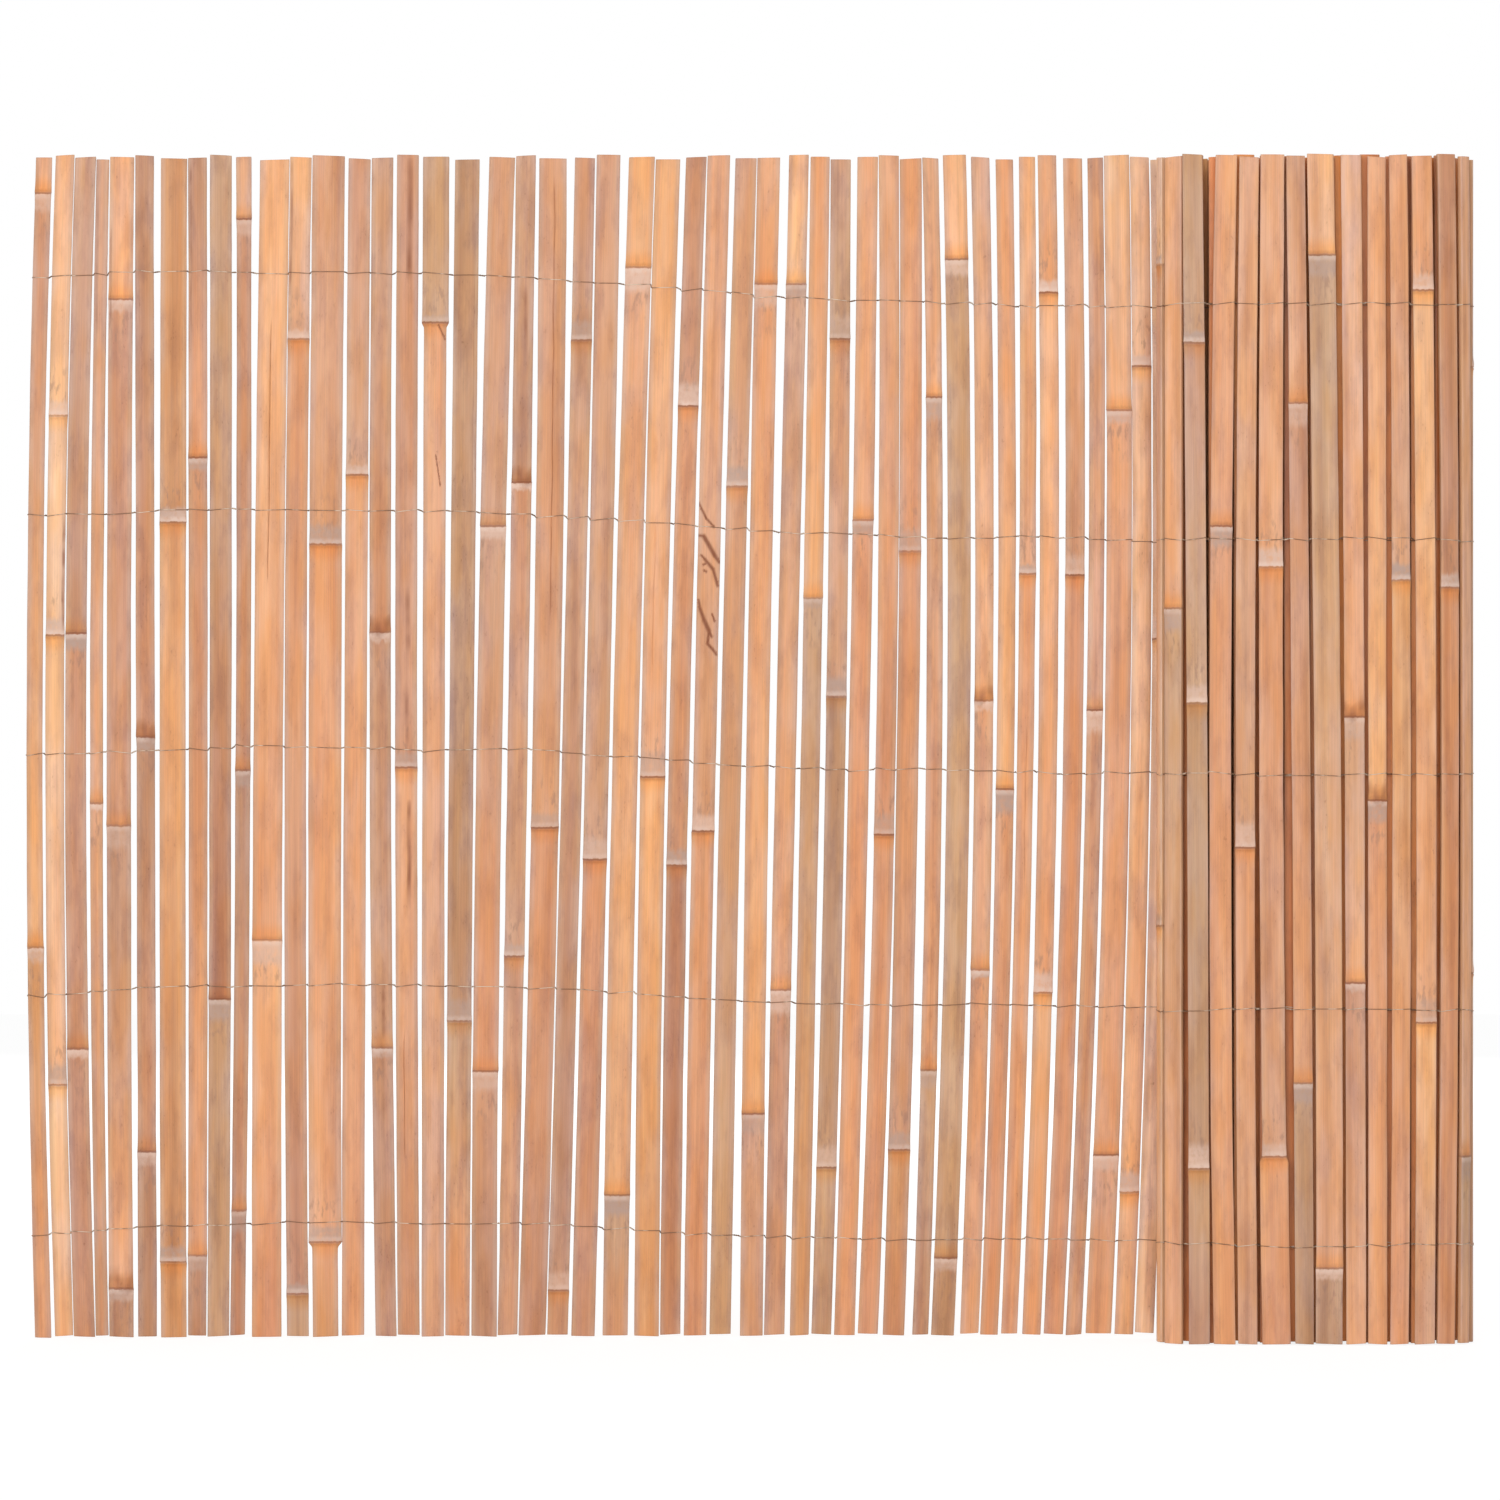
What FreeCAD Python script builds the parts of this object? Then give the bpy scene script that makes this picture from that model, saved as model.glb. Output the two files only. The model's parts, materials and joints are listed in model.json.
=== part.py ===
import FreeCAD, Part
import math
import os
from collections import namedtuple

# Split-bamboo fence panel, standing on its slat ends: a flat wing at the left and the rest of
# the mat rolled up flat at the right. X runs along the mat, Z along the slats, and the front is -Y.

# Panel and slats, in millimetres
PANEL_HEIGHT = 1000.0
SLAT_THICKNESS = 5.0
SKIN_CROWN = 0.8
CROWN_FACETS = 3
SIDE_DRAFT = 0.6
RIDGE_HEIGHT = 1.0
RIDGE_LENGTH = 8.0
END_MARGIN = 12.0
SLAT_CLEARANCE = 0.4
WING_RISE = 2.4
BOW_LEVELS = (-0.45, 0.45)
BOW_TO_JOINT = 40.0

# Binding wire: five rows, each a front and a back strand
ROW_COUNT = 5
WIRE_THICKNESS = 0.9
WIRE_CLEARANCE = 0.1
ROW_INSET_TOP = 102.0
ROW_INSET_BOTTOM = 87.0
ROW_FALL_TOP = 26.0
ROW_FALL_BOTTOM = 4.0
JOINT_TO_ROW = 7.0
# Swell of the rows: shares of the wing's length, and how far the wires ride up there
ROW_SWELL = ((0.0, 0.0), (0.13, 9.0), (0.26, 12.0), (0.42, 12.0), (0.54, 7.0), (0.66, 0.0))

# Roll: the mat goes behind it, folds over at the right and is wound inwards
ROLL_WIDTH = 272.0
ROLL_DEPTH = 80.0
LAYER_CLEARANCE = 2.2
FOLD_STEP = 3.0
FOLD_LEAN = 4.0
ROLL_GAP = 4.2
ROLL_END_RUN = 165.0

# One slat: its width, the gap to the next one at mid height, how far its top and bottom stand onwards
# along the mat from its middle, the heights of its joints, and its width below the lowest joint
Slat = namedtuple("Slat", "width gap top bottom joints foot", defaults=((), None))
WING_SLATS = (
    Slat(13.8, 2.2, 8.0, 7.2, (970, 331)),
    Slat(15.9, 0.8, 8.7, 8.0, (781, 595, 214)),
    Slat(17.8, 3.4, 8.5, 7.7, (597, 245)),
    Slat(10.9, 3.2, 5.6, 4.9, (453,)),
    Slat(20.6, 4.4, 2.9, 2.2, (880, 434, 42)),
    Slat(15.9, 4.0, -0.9, 1.6, (503, 158)),
    Slat(22.0, 2.6, 1.2, 0.8, (693, 64)),
    Slat(15.9, 1.6, -0.7, -0.8, (746, 70)),
    Slat(18.7, 3.4, 0.4, -1.9, (290,)),
    Slat(12.8, 2.4, 0.6, -4.7, (948, 481, 108)),
    Slat(25.0, 1.4, 5.7, -1.4, (337,)),
    Slat(18.3, 1.8, 4.8, 2.2, (846, 37)),
    Slat(27.8, 2.6, 3.5, 0.8, (672, 81), 21.6),
    Slat(18.8, 2.8, 3.8, -2.0, (731,)),
    Slat(17.9, 3.6, 2.0, 5.0, (598, 246)),
    Slat(18.7, 2.6, 1.6, 2.2, (483,)),
    Slat(22.7, 1.8, 2.2, -0.6, (860,), 18.9),
    Slat(20.8, 2.2, 5.2, -3.6, (994, 268)),
    Slat(21.8, 4.6, 11.2, -4.3, (691, 226)),
    Slat(17.0, 4.2, 7.2, -8.4, (725, 323)),
    Slat(23.4, 1.8, 5.8, -12.1, (432,)),
    Slat(17.5, 2.2, 10.6, -13.0, (845, 40)),
    Slat(20.3, 2.8, 9.6, -12.4, (405,)),
    Slat(21.7, 2.0, 13.9, -8.8, (907, 121)),
    Slat(21.1, 2.8, 12.5, -5.6, (475,)),
    Slat(17.4, 3.4, 14.7, -7.8, (789, 400)),
    Slat(19.1, 3.8, 11.9, -8.2, (429,)),
    Slat(17.9, 4.0, 12.7, -9.2, (721,)),
    Slat(19.5, 5.4, 9.3, -5.6, (893, 190)),
    Slat(17.2, 4.2, 11.2, -10.0, (893, 295)),
    Slat(16.2, 4.6, 8.2, -9.6, (627,)),
    Slat(17.1, 2.6, 4.2, -12.2, (846, 543, 144)),
    Slat(17.6, 5.2, 7.2, -12.4, (693,)),
    Slat(17.1, 0.8, 2.5, -15.6, (426,)),
    Slat(18.6, 6.2, 2.3, -12.4, (666, 159)),
    Slat(13.7, 4.0, -3.4, -12.0, (797, 227)),
    Slat(19.5, 3.6, -3.4, -13.6, (914, 68)),
    Slat(15.9, 3.0, -2.8, -12.4, (540, 312)),
    Slat(15.1, 2.4, -1.2, -14.2, (465,)),
    Slat(14.1, 3.6, 1.2, -14.0, (647,)),
    Slat(16.1, 5.0, -0.6, -13.8, (881, 284)),
    Slat(16.7, 3.0, -0.4, -16.8, (646,)),
    Slat(13.3, 2.0, 0.9, -17.6, (532,)),
    Slat(21.6, 0.8, -0.6, -16.2, (786, 155)),
    Slat(16.2, 1.0, -0.9, -14.2, (823, 123)),
    Slat(15.9, 3.0, -0.8, -14.0, (592,)),
)
# Height of each wing slat's two ends over the panel's own, repeated along the wing
WING_FEET = (0.0, 1.2, 0.6, 1.6, 0.2, 0.8)
WING_HEADS = (0.0, 2.4, 1.0, -1.6, 0.6, 2.0, -0.6)

# Outer turn of the roll, from behind the wing's last slat: the hidden back run and the right fold,
# then the front run from right to left, and the left fold
BACK_RUN = (
    Slat(17.5, 4.2, 0.0, -11.0, (410,)),
    Slat(18.4, 4.2, 0.0, -8.5, (760, 215)),
    Slat(16.6, 4.2, 0.0, -6.0, (585,)),
    Slat(19.0, 4.2, 0.0, -4.0, (330,)),
    Slat(17.4, 4.2, 0.0, -2.0, (690, 120)),
    Slat(17.0, 4.2, 0.0, 0.0, (480,)),
    Slat(18.4, 4.2, 0.0, 0.0, (840, 270)),
    Slat(17.8, 4.2, 0.0, 0.0, (560,)),
)
RIGHT_FOLD = (
    Slat(17.0, 4.2, 0.0, 0.0, (390,)),
    Slat(18.0, 4.2, 0.0, 0.0, (700,)),
    Slat(17.0, 4.2, 0.0, 0.0, (250,)),
    Slat(17.5, 4.2, 0.0, 0.0, (545,)),
    Slat(17.0, 4.2, 0.0, 0.0, (820, 310)),
    Slat(14.6, 4.2, 4.0, 4.0, (157,)),
)
FRONT_RUN = (
    Slat(16.8, 4.2, 4.0, 4.0, (634,)),
    Slat(17.2, 3.0, 4.0, 1.4, (874, 278)),
    Slat(15.6, 4.6, 2.9, 1.7, (640,)),
    Slat(15.8, 2.8, 0.7, -0.4, (456,)),
    Slat(17.0, 3.0, 3.0, -1.4, (526, 303)),
    Slat(22.6, 2.8, 5.8, -1.8, (913, 64)),
    Slat(15.8, 7.0, 4.6, -3.2, (789, 219)),
    Slat(20.4, 3.2, -1.2, -4.6, (651, 157), 24.0),
    Slat(16.6, 3.4, -3.4, -2.4, (416,)),
    Slat(18.4, 1.2, -5.4, -3.6, (675,)),
    Slat(17.4, 4.2, 4.0, -1.7, (839, 537, 147)),
)
LEFT_FOLD = (
    Slat(18.0, 4.2, 0.0, 0.0, (617,)),
    Slat(17.0, 4.2, 0.0, 0.0, (906, 350)),
    Slat(18.0, 4.2, 0.0, 0.0, (500,)),
)
# Slats of the inner turns, which show only at their ends
INNER_WIDTHS = (17.0, 17.5, 16.0, 17.0, 16.5, 17.5)
# How far the rolled slats' heads stay under the panel's height, and the inner turns' feet over the floor
ROLL_HEADS = (2.4, 4.0, 3.0, 4.6, 3.4)
INNER_FEET = (0.4, 1.6, 0.8, 2.0)
LISTED_SLATS = WING_SLATS + BACK_RUN + RIGHT_FOLD + FRONT_RUN + LEFT_FOLD

strand_offset = SLAT_THICKNESS / 2 + WIRE_CLEARANCE + WIRE_THICKNESS / 2
layer_pitch = SLAT_THICKNESS + 2 * (WIRE_THICKNESS + WIRE_CLEARANCE) + LAYER_CLEARANCE
outer_reach = strand_offset + WIRE_THICKNESS / 2
wing_length = sum(slat.width + slat.gap for slat in WING_SLATS[:-1])


def smallest_fold():
    """Radius of the tightest fold in which two neighbouring slats still clear each other."""
    half_turn = math.atan((ROLL_GAP - SLAT_CLEARANCE) / SLAT_THICKNESS)
    link = max(INNER_WIDTHS) + ROLL_GAP
    return link / 2 / math.sin(half_turn)


Piece = namedtuple("Piece", "start heading length radius")


def mat_path():
    """The mat's middle line in plan: straight runs and half-circle folds that turn to the right."""
    pieces = []
    radius = ROLL_DEPTH / 2 - outer_reach
    right = wing_length + ROLL_WIDTH - radius - outer_reach
    left = wing_length + radius - layer_pitch / 2 + outer_reach
    start = FreeCAD.Vector(0, 0, 0)
    heading = 1
    fold = 0
    while radius >= smallest_fold():
        inset = FOLD_STEP * (fold // 2)
        turn_at = right - inset if heading > 0 else left + inset
        pieces.append(Piece(start, heading, abs(turn_at - start.x), None))
        start = FreeCAD.Vector(turn_at, start.y, 0)
        pieces.append(Piece(start, heading, math.pi * radius, radius))
        start = FreeCAD.Vector(turn_at, start.y - heading * 2 * radius, 0)
        heading = -heading
        radius -= layer_pitch / 2
        fold += 1
    pieces.append(Piece(start, heading, ROLL_END_RUN, None))
    return pieces


def point_on(pieces, distance):
    """Point of the mat's middle line at a distance from its left end."""
    for piece in pieces:
        if distance <= piece.length:
            break
        distance -= piece.length
    else:
        distance += pieces[-1].length
    if piece.radius is None:
        return piece.start + FreeCAD.Vector(piece.heading * distance, 0, 0)
    angle = distance / piece.radius
    across = piece.heading * piece.radius * math.sin(angle)
    back = piece.heading * piece.radius * (math.cos(angle) - 1)
    return piece.start + FreeCAD.Vector(across, back, 0)


def step_along(pieces, distance, chord):
    """Distance at which the straight line from the given place has the length of the chord."""
    origin = point_on(pieces, distance)
    low = distance
    high = distance + 2 * chord
    for _ in range(60):
        middle = (low + high) / 2
        if (point_on(pieces, middle) - origin).Length < chord:
            low = middle
        else:
            high = middle
    return high


def is_folded(pieces, first, last):
    """Whether the stretch between two distances along the mat takes in any part of a fold."""
    begins = 0.0
    for piece in pieces:
        ends = begins + piece.length
        if piece.radius is not None and first < ends and last > begins:
            return True
        begins = ends
    return False


def fitted_to_fold(slat):
    """A slat as it is in a fold: room for the turn beside it, and only a slight lean."""
    top = max(-FOLD_LEAN, min(FOLD_LEAN, slat.top))
    bottom = max(-FOLD_LEAN, min(FOLD_LEAN, slat.bottom))
    return slat._replace(gap=max(slat.gap, ROLL_GAP), top=top, bottom=bottom)


Link = namedtuple("Link", "slat start end lead")


def lay_slats(pieces):
    """Lays slat after slat along the mat, each on the straight link between two gap middles."""
    total = sum(piece.length for piece in pieces)
    links = []
    distance = 0.0
    gap_before = 0.0
    while True:
        index = len(links)
        if index < len(LISTED_SLATS):
            slat = LISTED_SLATS[index]
        else:
            slat = Slat(INNER_WIDTHS[index % len(INNER_WIDTHS)], ROLL_GAP, 0.0, 0.0)
        if is_folded(pieces, distance, distance + slat.width + slat.gap):
            slat = fitted_to_fold(slat)
        chord = gap_before / 2 + slat.width + slat.gap / 2
        if distance + chord > total:
            return links
        following = step_along(pieces, distance, chord)
        lead = gap_before / 2 + slat.width / 2
        links.append(Link(slat, point_on(pieces, distance), point_on(pieces, following), lead))
        distance = following
        gap_before = slat.gap


def row_swell(place):
    """How far the wires ride up at a place along X, between the listed shares of the wing."""
    share = place / wing_length
    for (before, lower), (after, upper) in zip(ROW_SWELL, ROW_SWELL[1:]):
        if before <= share <= after:
            return lower + (upper - lower) * (share - before) / (after - before)
    return 0.0


def row_height(row, place):
    """Height of a wire row at a place along X: it falls over the wing and is level in the roll."""
    share = row / (ROW_COUNT - 1)
    at_left = ROW_INSET_BOTTOM + share * (PANEL_HEIGHT - ROW_INSET_BOTTOM - ROW_INSET_TOP)
    fall = ROW_FALL_BOTTOM + share * (ROW_FALL_TOP - ROW_FALL_BOTTOM)
    return at_left - fall * min(place / wing_length, 1.0) + row_swell(place)


def is_swell_corner(link):
    """Whether the wires bend at the gap after this slat, where a listed share of the wing falls."""
    return any(link.start.x < share * wing_length <= link.end.x for share, _ in ROW_SWELL)


def clear_joints(slat, foot, head, place):
    """Joint heights that lie inside the slat and beside the wire rows, never under one."""
    keep_off = JOINT_TO_ROW + RIDGE_LENGTH / 2
    heights = []
    for joint in sorted(slat.joints):
        for row in range(ROW_COUNT):
            wire = row_height(row, place)
            if abs(joint - wire) < keep_off:
                joint = wire + math.copysign(keep_off, joint - wire)
        if foot + END_MARGIN < joint < head - END_MARGIN:
            heights.append(joint)
    return heights


def sideways(slat, height):
    """How far a bowed slat stands to the side of its middle at a height."""
    level = 2 * height / PANEL_HEIGHT - 1
    lean = (slat.top - slat.bottom) / 2
    bow = (slat.top + slat.bottom) / 2
    return lean * level + bow * level * level


Station = namedtuple("Station", "height shift width proud")


def slat_stations(slat, foot, head, place):
    """Levels of a slat from foot to head: ends, bow, and three for each joint's ridge."""
    joints = clear_joints(slat, foot, head, place)
    bends = [PANEL_HEIGHT / 2 * (1 + level) for level in BOW_LEVELS]
    if slat.top + slat.bottom == 0:
        bends = []
    bends = [bend for bend in bends if all(abs(bend - joint) > BOW_TO_JOINT for joint in joints)]
    levels = [(foot, 0.0), (head, 0.0)] + [(bend, 0.0) for bend in bends]
    for joint in joints:
        levels += [(joint - RIDGE_LENGTH / 2, 0.0), (joint, RIDGE_HEIGHT), (joint + RIDGE_LENGTH / 2, 0.0)]
    stations = []
    for height, proud in sorted(levels):
        below = slat.foot is not None and joints and height < joints[0] - RIDGE_LENGTH / 4
        width = slat.foot if below else slat.width
        stations.append(Station(height, sideways(slat, height), width, proud))
    return stations


def slat_section(centre, along, skin, station):
    """Closed outline of a slat at one level: crowned skin, two split sides and a flat back."""
    def place(across, out):
        point = centre + along * (across + station.shift) + skin * out
        return FreeCAD.Vector(point.x, point.y, station.height)

    half = station.width / 2
    face = SLAT_THICKNESS / 2 + station.proud
    shares = [2 * step / CROWN_FACETS - 1 for step in range(CROWN_FACETS + 1)]
    outline = [place(share * half, face - SKIN_CROWN * share ** 2) for share in shares]
    outline.append(place(half - SIDE_DRAFT, -SLAT_THICKNESS / 2))
    outline.append(place(SIDE_DRAFT - half, -SLAT_THICKNESS / 2))
    return Part.makePolygon(outline + outline[:1])


def make_slat(link, skin_side, foot, head):
    """One slat as a ruled loft through its levels, with its skin to one side of the mat."""
    along = (link.end - link.start).normalize()
    skin = FreeCAD.Vector(-along.y, along.x, 0) * skin_side
    centre = link.start + along * link.lead
    stations = slat_stations(link.slat, foot, head, centre.x)
    sections = [slat_section(centre, along, skin, station) for station in stations]
    return Part.makeLoft(sections, True, True)


def shift_at(slat, foot, head, place, height):
    """Sideways place of a lofted slat at any height, between its levels."""
    stations = slat_stations(slat, foot, head, place)
    for lower, upper in zip(stations, stations[1:]):
        if height <= upper.height:
            share = (height - lower.height) / (upper.height - lower.height)
            return lower.shift + share * (upper.shift - lower.shift)
    return stations[-1].shift


def strand_route(links, ends, row, side):
    """Corners of one strand: round the first slat's edge, along the mat's face, round the last edge."""
    corners = []
    offset = side * strand_offset

    def end_corners(link, edge, foot, head):
        along = (link.end - link.start).normalize()
        normal = FreeCAD.Vector(-along.y, along.x, 0)
        height = row_height(row, link.start.x)
        shift = shift_at(link.slat, foot, head, link.start.x, height)
        reach = link.slat.width / 2 + WIRE_CLEARANCE + WIRE_THICKNESS / 2
        middle = link.start + along * (link.lead + shift + edge * reach)
        middle.z = height
        return [middle, middle + normal * offset]

    corners += end_corners(links[0], -1, *ends[0])
    for before, after in zip(links, links[1:]):
        first = (before.end - before.start).normalize()
        second = (after.end - after.start).normalize()
        bisector = FreeCAD.Vector(-first.y - second.y, first.x + second.x, 0).normalize()
        spread = bisector.dot(FreeCAD.Vector(-first.y, first.x, 0))
        turns = first.cross(second).Length > 1e-6
        if turns or is_swell_corner(before) or before is links[len(WING_SLATS) - 1]:
            corner = before.end + bisector * (offset / spread)
            corner.z = row_height(row, before.end.x)
            corners.append(corner)
    corners += reversed(end_corners(links[-1], 1, *ends[-1]))
    return corners


def make_strand(corners):
    """Square wire along the corners, as a ruled loft through mitred sections."""
    half = WIRE_THICKNESS / 2
    up = FreeCAD.Vector(0, 0, half)
    sections = []
    for index, corner in enumerate(corners):
        before = corner - corners[index - 1] if index else corners[1] - corner
        after = corners[index + 1] - corner if index + 1 < len(corners) else before
        first = FreeCAD.Vector(before.x, before.y, 0).normalize()
        second = FreeCAD.Vector(after.x, after.y, 0).normalize()
        mitre = FreeCAD.Vector(-first.y - second.y, first.x + second.x, 0).normalize()
        mitre *= half / mitre.dot(FreeCAD.Vector(-first.y, first.x, 0))
        outline = [corner + mitre + up, corner - mitre + up, corner - mitre - up, corner + mitre - up]
        sections.append(Part.makePolygon(outline + outline[:1]))
    return Part.makeLoft(sections, True, True)


def slat_ends(index):
    """Heights of a slat's foot and head: the wing rises towards the roll, and the roll stands level."""
    if index < len(WING_SLATS):
        rise = WING_RISE * index / len(WING_SLATS)
        return rise + WING_FEET[index % len(WING_FEET)], PANEL_HEIGHT + WING_HEADS[index % len(WING_HEADS)]
    foot = 0.0 if index < len(LISTED_SLATS) else INNER_FEET[index % len(INNER_FEET)]
    return foot, PANEL_HEIGHT - ROLL_HEADS[index % len(ROLL_HEADS)]


def build_panel():
    """All pieces by node name, in the mat's own place."""
    links = lay_slats(mat_path())
    ends = [slat_ends(index) for index in range(len(links))]
    nodes = {}
    wing = len(WING_SLATS)
    for index in range(wing):
        nodes[f"slat_{index + 1:02d}"] = make_slat(links[index], -1, *ends[index])
    rolled = [make_slat(links[index], 1, *ends[index]) for index in range(wing, len(links))]
    for name, group in (("roll_back_slats", BACK_RUN), ("roll_right_slats", RIGHT_FOLD),
                        ("roll_front_slats", FRONT_RUN), ("roll_left_slats", LEFT_FOLD)):
        nodes[name] = Part.makeCompound(rolled[:len(group)])
        rolled = rolled[len(group):]
    nodes["roll_inner_slats"] = Part.makeCompound(rolled)
    for row in range(ROW_COUNT):
        strands = [make_strand(strand_route(links, ends, row, side)) for side in (-1, 1)]
        nodes[f"binding_wire_{row + 1}"] = Part.makeCompound(strands)
    return nodes


def main():
    os.makedirs("parts", exist_ok=True)
    nodes = build_panel()
    box = Part.makeCompound(list(nodes.values())).BoundBox
    origin = FreeCAD.Vector(box.Center.x, box.Center.y, box.ZMin)
    for name, shape in nodes.items():
        shape.translate(-origin)
        shape.exportStep(f"parts/{name}.step")


main()
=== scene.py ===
import json
import math
import re
from collections import namedtuple

import bpy
import numpy as np
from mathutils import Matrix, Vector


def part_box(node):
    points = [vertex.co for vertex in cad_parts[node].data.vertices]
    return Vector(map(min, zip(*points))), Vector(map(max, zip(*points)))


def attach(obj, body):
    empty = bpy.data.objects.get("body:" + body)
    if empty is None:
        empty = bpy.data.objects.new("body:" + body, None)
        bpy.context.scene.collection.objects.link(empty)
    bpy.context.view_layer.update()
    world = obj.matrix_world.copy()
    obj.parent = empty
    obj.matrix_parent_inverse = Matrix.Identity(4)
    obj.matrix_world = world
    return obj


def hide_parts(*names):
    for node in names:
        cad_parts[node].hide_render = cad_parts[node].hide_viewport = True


bl_info = {
    "name": "Split bamboo fence panel",
    "version": (1, 0, 0),
    "blender": (4, 5, 0),
    "location": "View3D > Sidebar > Bamboo fence",
    "description": "Dresses the fence panel's solids as split bamboo slats bound with twisted wire",
    "category": "Add Mesh",
}

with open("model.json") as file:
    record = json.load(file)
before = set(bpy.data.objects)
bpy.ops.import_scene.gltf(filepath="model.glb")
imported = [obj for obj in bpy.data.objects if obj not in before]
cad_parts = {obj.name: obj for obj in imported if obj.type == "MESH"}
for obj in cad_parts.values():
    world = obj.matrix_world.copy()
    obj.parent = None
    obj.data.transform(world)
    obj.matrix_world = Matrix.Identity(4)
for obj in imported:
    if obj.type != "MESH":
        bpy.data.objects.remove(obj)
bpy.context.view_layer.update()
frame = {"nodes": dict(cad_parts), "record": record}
MM = 0.001
ROLL_NODES = tuple(f"roll_{run}_slats" for run in ("back", "right", "front", "left", "inner"))
WIRE_NODES = sorted(name for name in frame["nodes"] if name.startswith("binding_wire"))
WING_NODES = sorted(name for name in frame["nodes"] if name.startswith("slat_"))
SLOT_OF = {row["node"]: row["material_slot"] for row in frame["record"]["subparts"]}


def linear(red, green, blue):
    """Scene colour of a shade named by its screen values, 0 to 255."""
    shares = (red / 255, green / 255, blue / 255)
    return tuple(c / 12.92 if c < 0.0405 else ((c + 0.055) / 1.055) ** 2.4 for c in shares)


def shade(name, description, *screen):
    """A colour setting with its default given by screen values."""
    return bpy.props.FloatVectorProperty(
        name=name, description=description, subtype="COLOR", size=3, min=0, max=1, default=linear(*screen)
    )


def length(name, description, millimetres):
    """A length setting with its default given in millimetres."""
    return bpy.props.FloatProperty(
        name=name, description=description, unit="LENGTH", default=millimetres * MM, precision=5
    )


def power(name, description, watts):
    """A lamp's power setting."""
    return bpy.props.FloatProperty(name=name, description=description, unit="POWER", default=watts)


class FenceTones(bpy.types.PropertyGroup):
    """Shades of the bamboo's skin, its split faces and its joints."""

    # Cream is the palest skin, and on the last wing slat and the roll's second fold slat it is painted light
    # that lifts skin lying in the roll's shade
    cream: shade("Cream", "Palest skin", 255, 214, 182)
    straw: shade("Straw", "Very pale skin", 246, 199, 160)
    peach: shade("Peach", "Clear pale skin", 241, 184, 140)
    honey: shade("Honey", "Yellow skin", 234, 175, 125)
    apricot: shade("Apricot", "Pale orange skin", 229, 171, 132)
    orange: shade("Orange", "Warm skin", 226, 163, 120)
    rust: shade("Rust", "Deep orange skin", 219, 155, 115)
    amber: shade("Amber", "Deep yellow skin", 215, 157, 109)
    tan: shade("Tan", "Middle skin", 212, 158, 123)
    pink: shade("Pink", "Pale rose skin", 222, 173, 145)
    fawn: shade("Fawn", "Greyed rose skin", 208, 161, 132)
    rose: shade("Rose", "Reddish skin", 204, 150, 120)
    olive: shade("Olive", "Greenish skin", 203, 161, 127)
    sienna: shade("Sienna", "Dark red skin", 203, 144, 107)
    ash: shade("Ash", "Dull skin", 195, 147, 120)
    moss: shade("Moss", "Dull greenish skin", 192, 149, 117)
    brown: shade("Brown", "Dark skin", 187, 138, 109)
    umber: shade("Umber", "Darkest skin", 186, 128, 96)
    wax: shade("Wax", "Bloom beside a joint", 224, 189, 169)
    dust: shade("Dust", "Grey bloom beside a joint", 182, 154, 140)
    # Scar also colours the painted edge shadows among the stains
    scar: shade("Scar", "Line of a joint, stains and scratches", 132, 72, 40)
    smudge: shade("Smudge", "Grey smears above a joint", 150, 112, 94)
    lip: shade("Lip", "Pale rim of a joint", 238, 212, 197)
    # Edge is partly painted shade along the split edges, where rounded edges and narrow gaps darken, and
    # partly a grey fringe
    edge: shade("Edge", "Greyed skin along the split edges", 197, 167, 147)
    flesh: shade("Flesh", "Split sides and inner face", 222, 168, 114)
    pith: shade("Pith", "Sawn ends", 205, 160, 115)


class SlatMake(bpy.types.PropertyGroup):
    """How a slat differs from its plain solid."""

    edge_round: length("Edge rounding", "Radius along the skin's two edges", 0.45)
    edge_wander: length("Edge wander", "How far a split edge strays from its line", 0.2)
    joint_step: length("Joint step", "How far an edge steps from one joint to the next", 0.25)
    joint_flare: length("Joint flare", "How far a joint widens the slat", 0.3)
    joint_swell: length("Joint swell", "How far a joint stands out of the skin", 0.8)
    joint_groove: length("Joint groove", "Depth of the line round a joint", 0.4)
    crown: length("Crown", "How far the skin's edges fall behind its middle", 0.8)
    hollow: length("Hollow", "Depth of the inner face's hollow", 0.4)
    rib: length("Ribs", "Height of the skin's fine ribs", 0.07)
    step: length("Level spacing", "Distance between levels of the mesh", 12.5)


class WireMake(bpy.types.PropertyGroup):
    """Binding wire."""

    radius: length("Radius", "Half the wire's thickness", 0.36)
    wander: length("Wander", "How far a row strays up and down at a slat", 1.7)
    colour: shade("Zinc", "Dulled zinc", 212, 192, 170)
    tarnish: shade("Tarnish", "Brown film on the zinc", 134, 100, 74)


class StageMake(bpy.types.PropertyGroup):
    """Camera, lamps and floor."""

    distance: length("Camera distance", "From the wing's plane", 6500.0)
    view_width: length("View width", "Width of the picture at the wing's plane", 1271.0)
    aim_side: length("Aim to the side", "Place of the picture's middle along X", 1.2)
    aim_height: length("Aim height", "Height of the picture's middle", 498.0)
    sky: bpy.props.FloatProperty(name="Sky", description="Light from all round", default=0.49, min=0)
    key_power: power("Key lamp", "Large lamp at the upper left", 118)
    fill_power: power("Fill lamp", "Large lamp at the right", 74)
    back_power: power("Back lamp", "Large lamp behind", 90)
    floor: shade("Floor", "Floor paint", 240, 240, 240)
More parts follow.
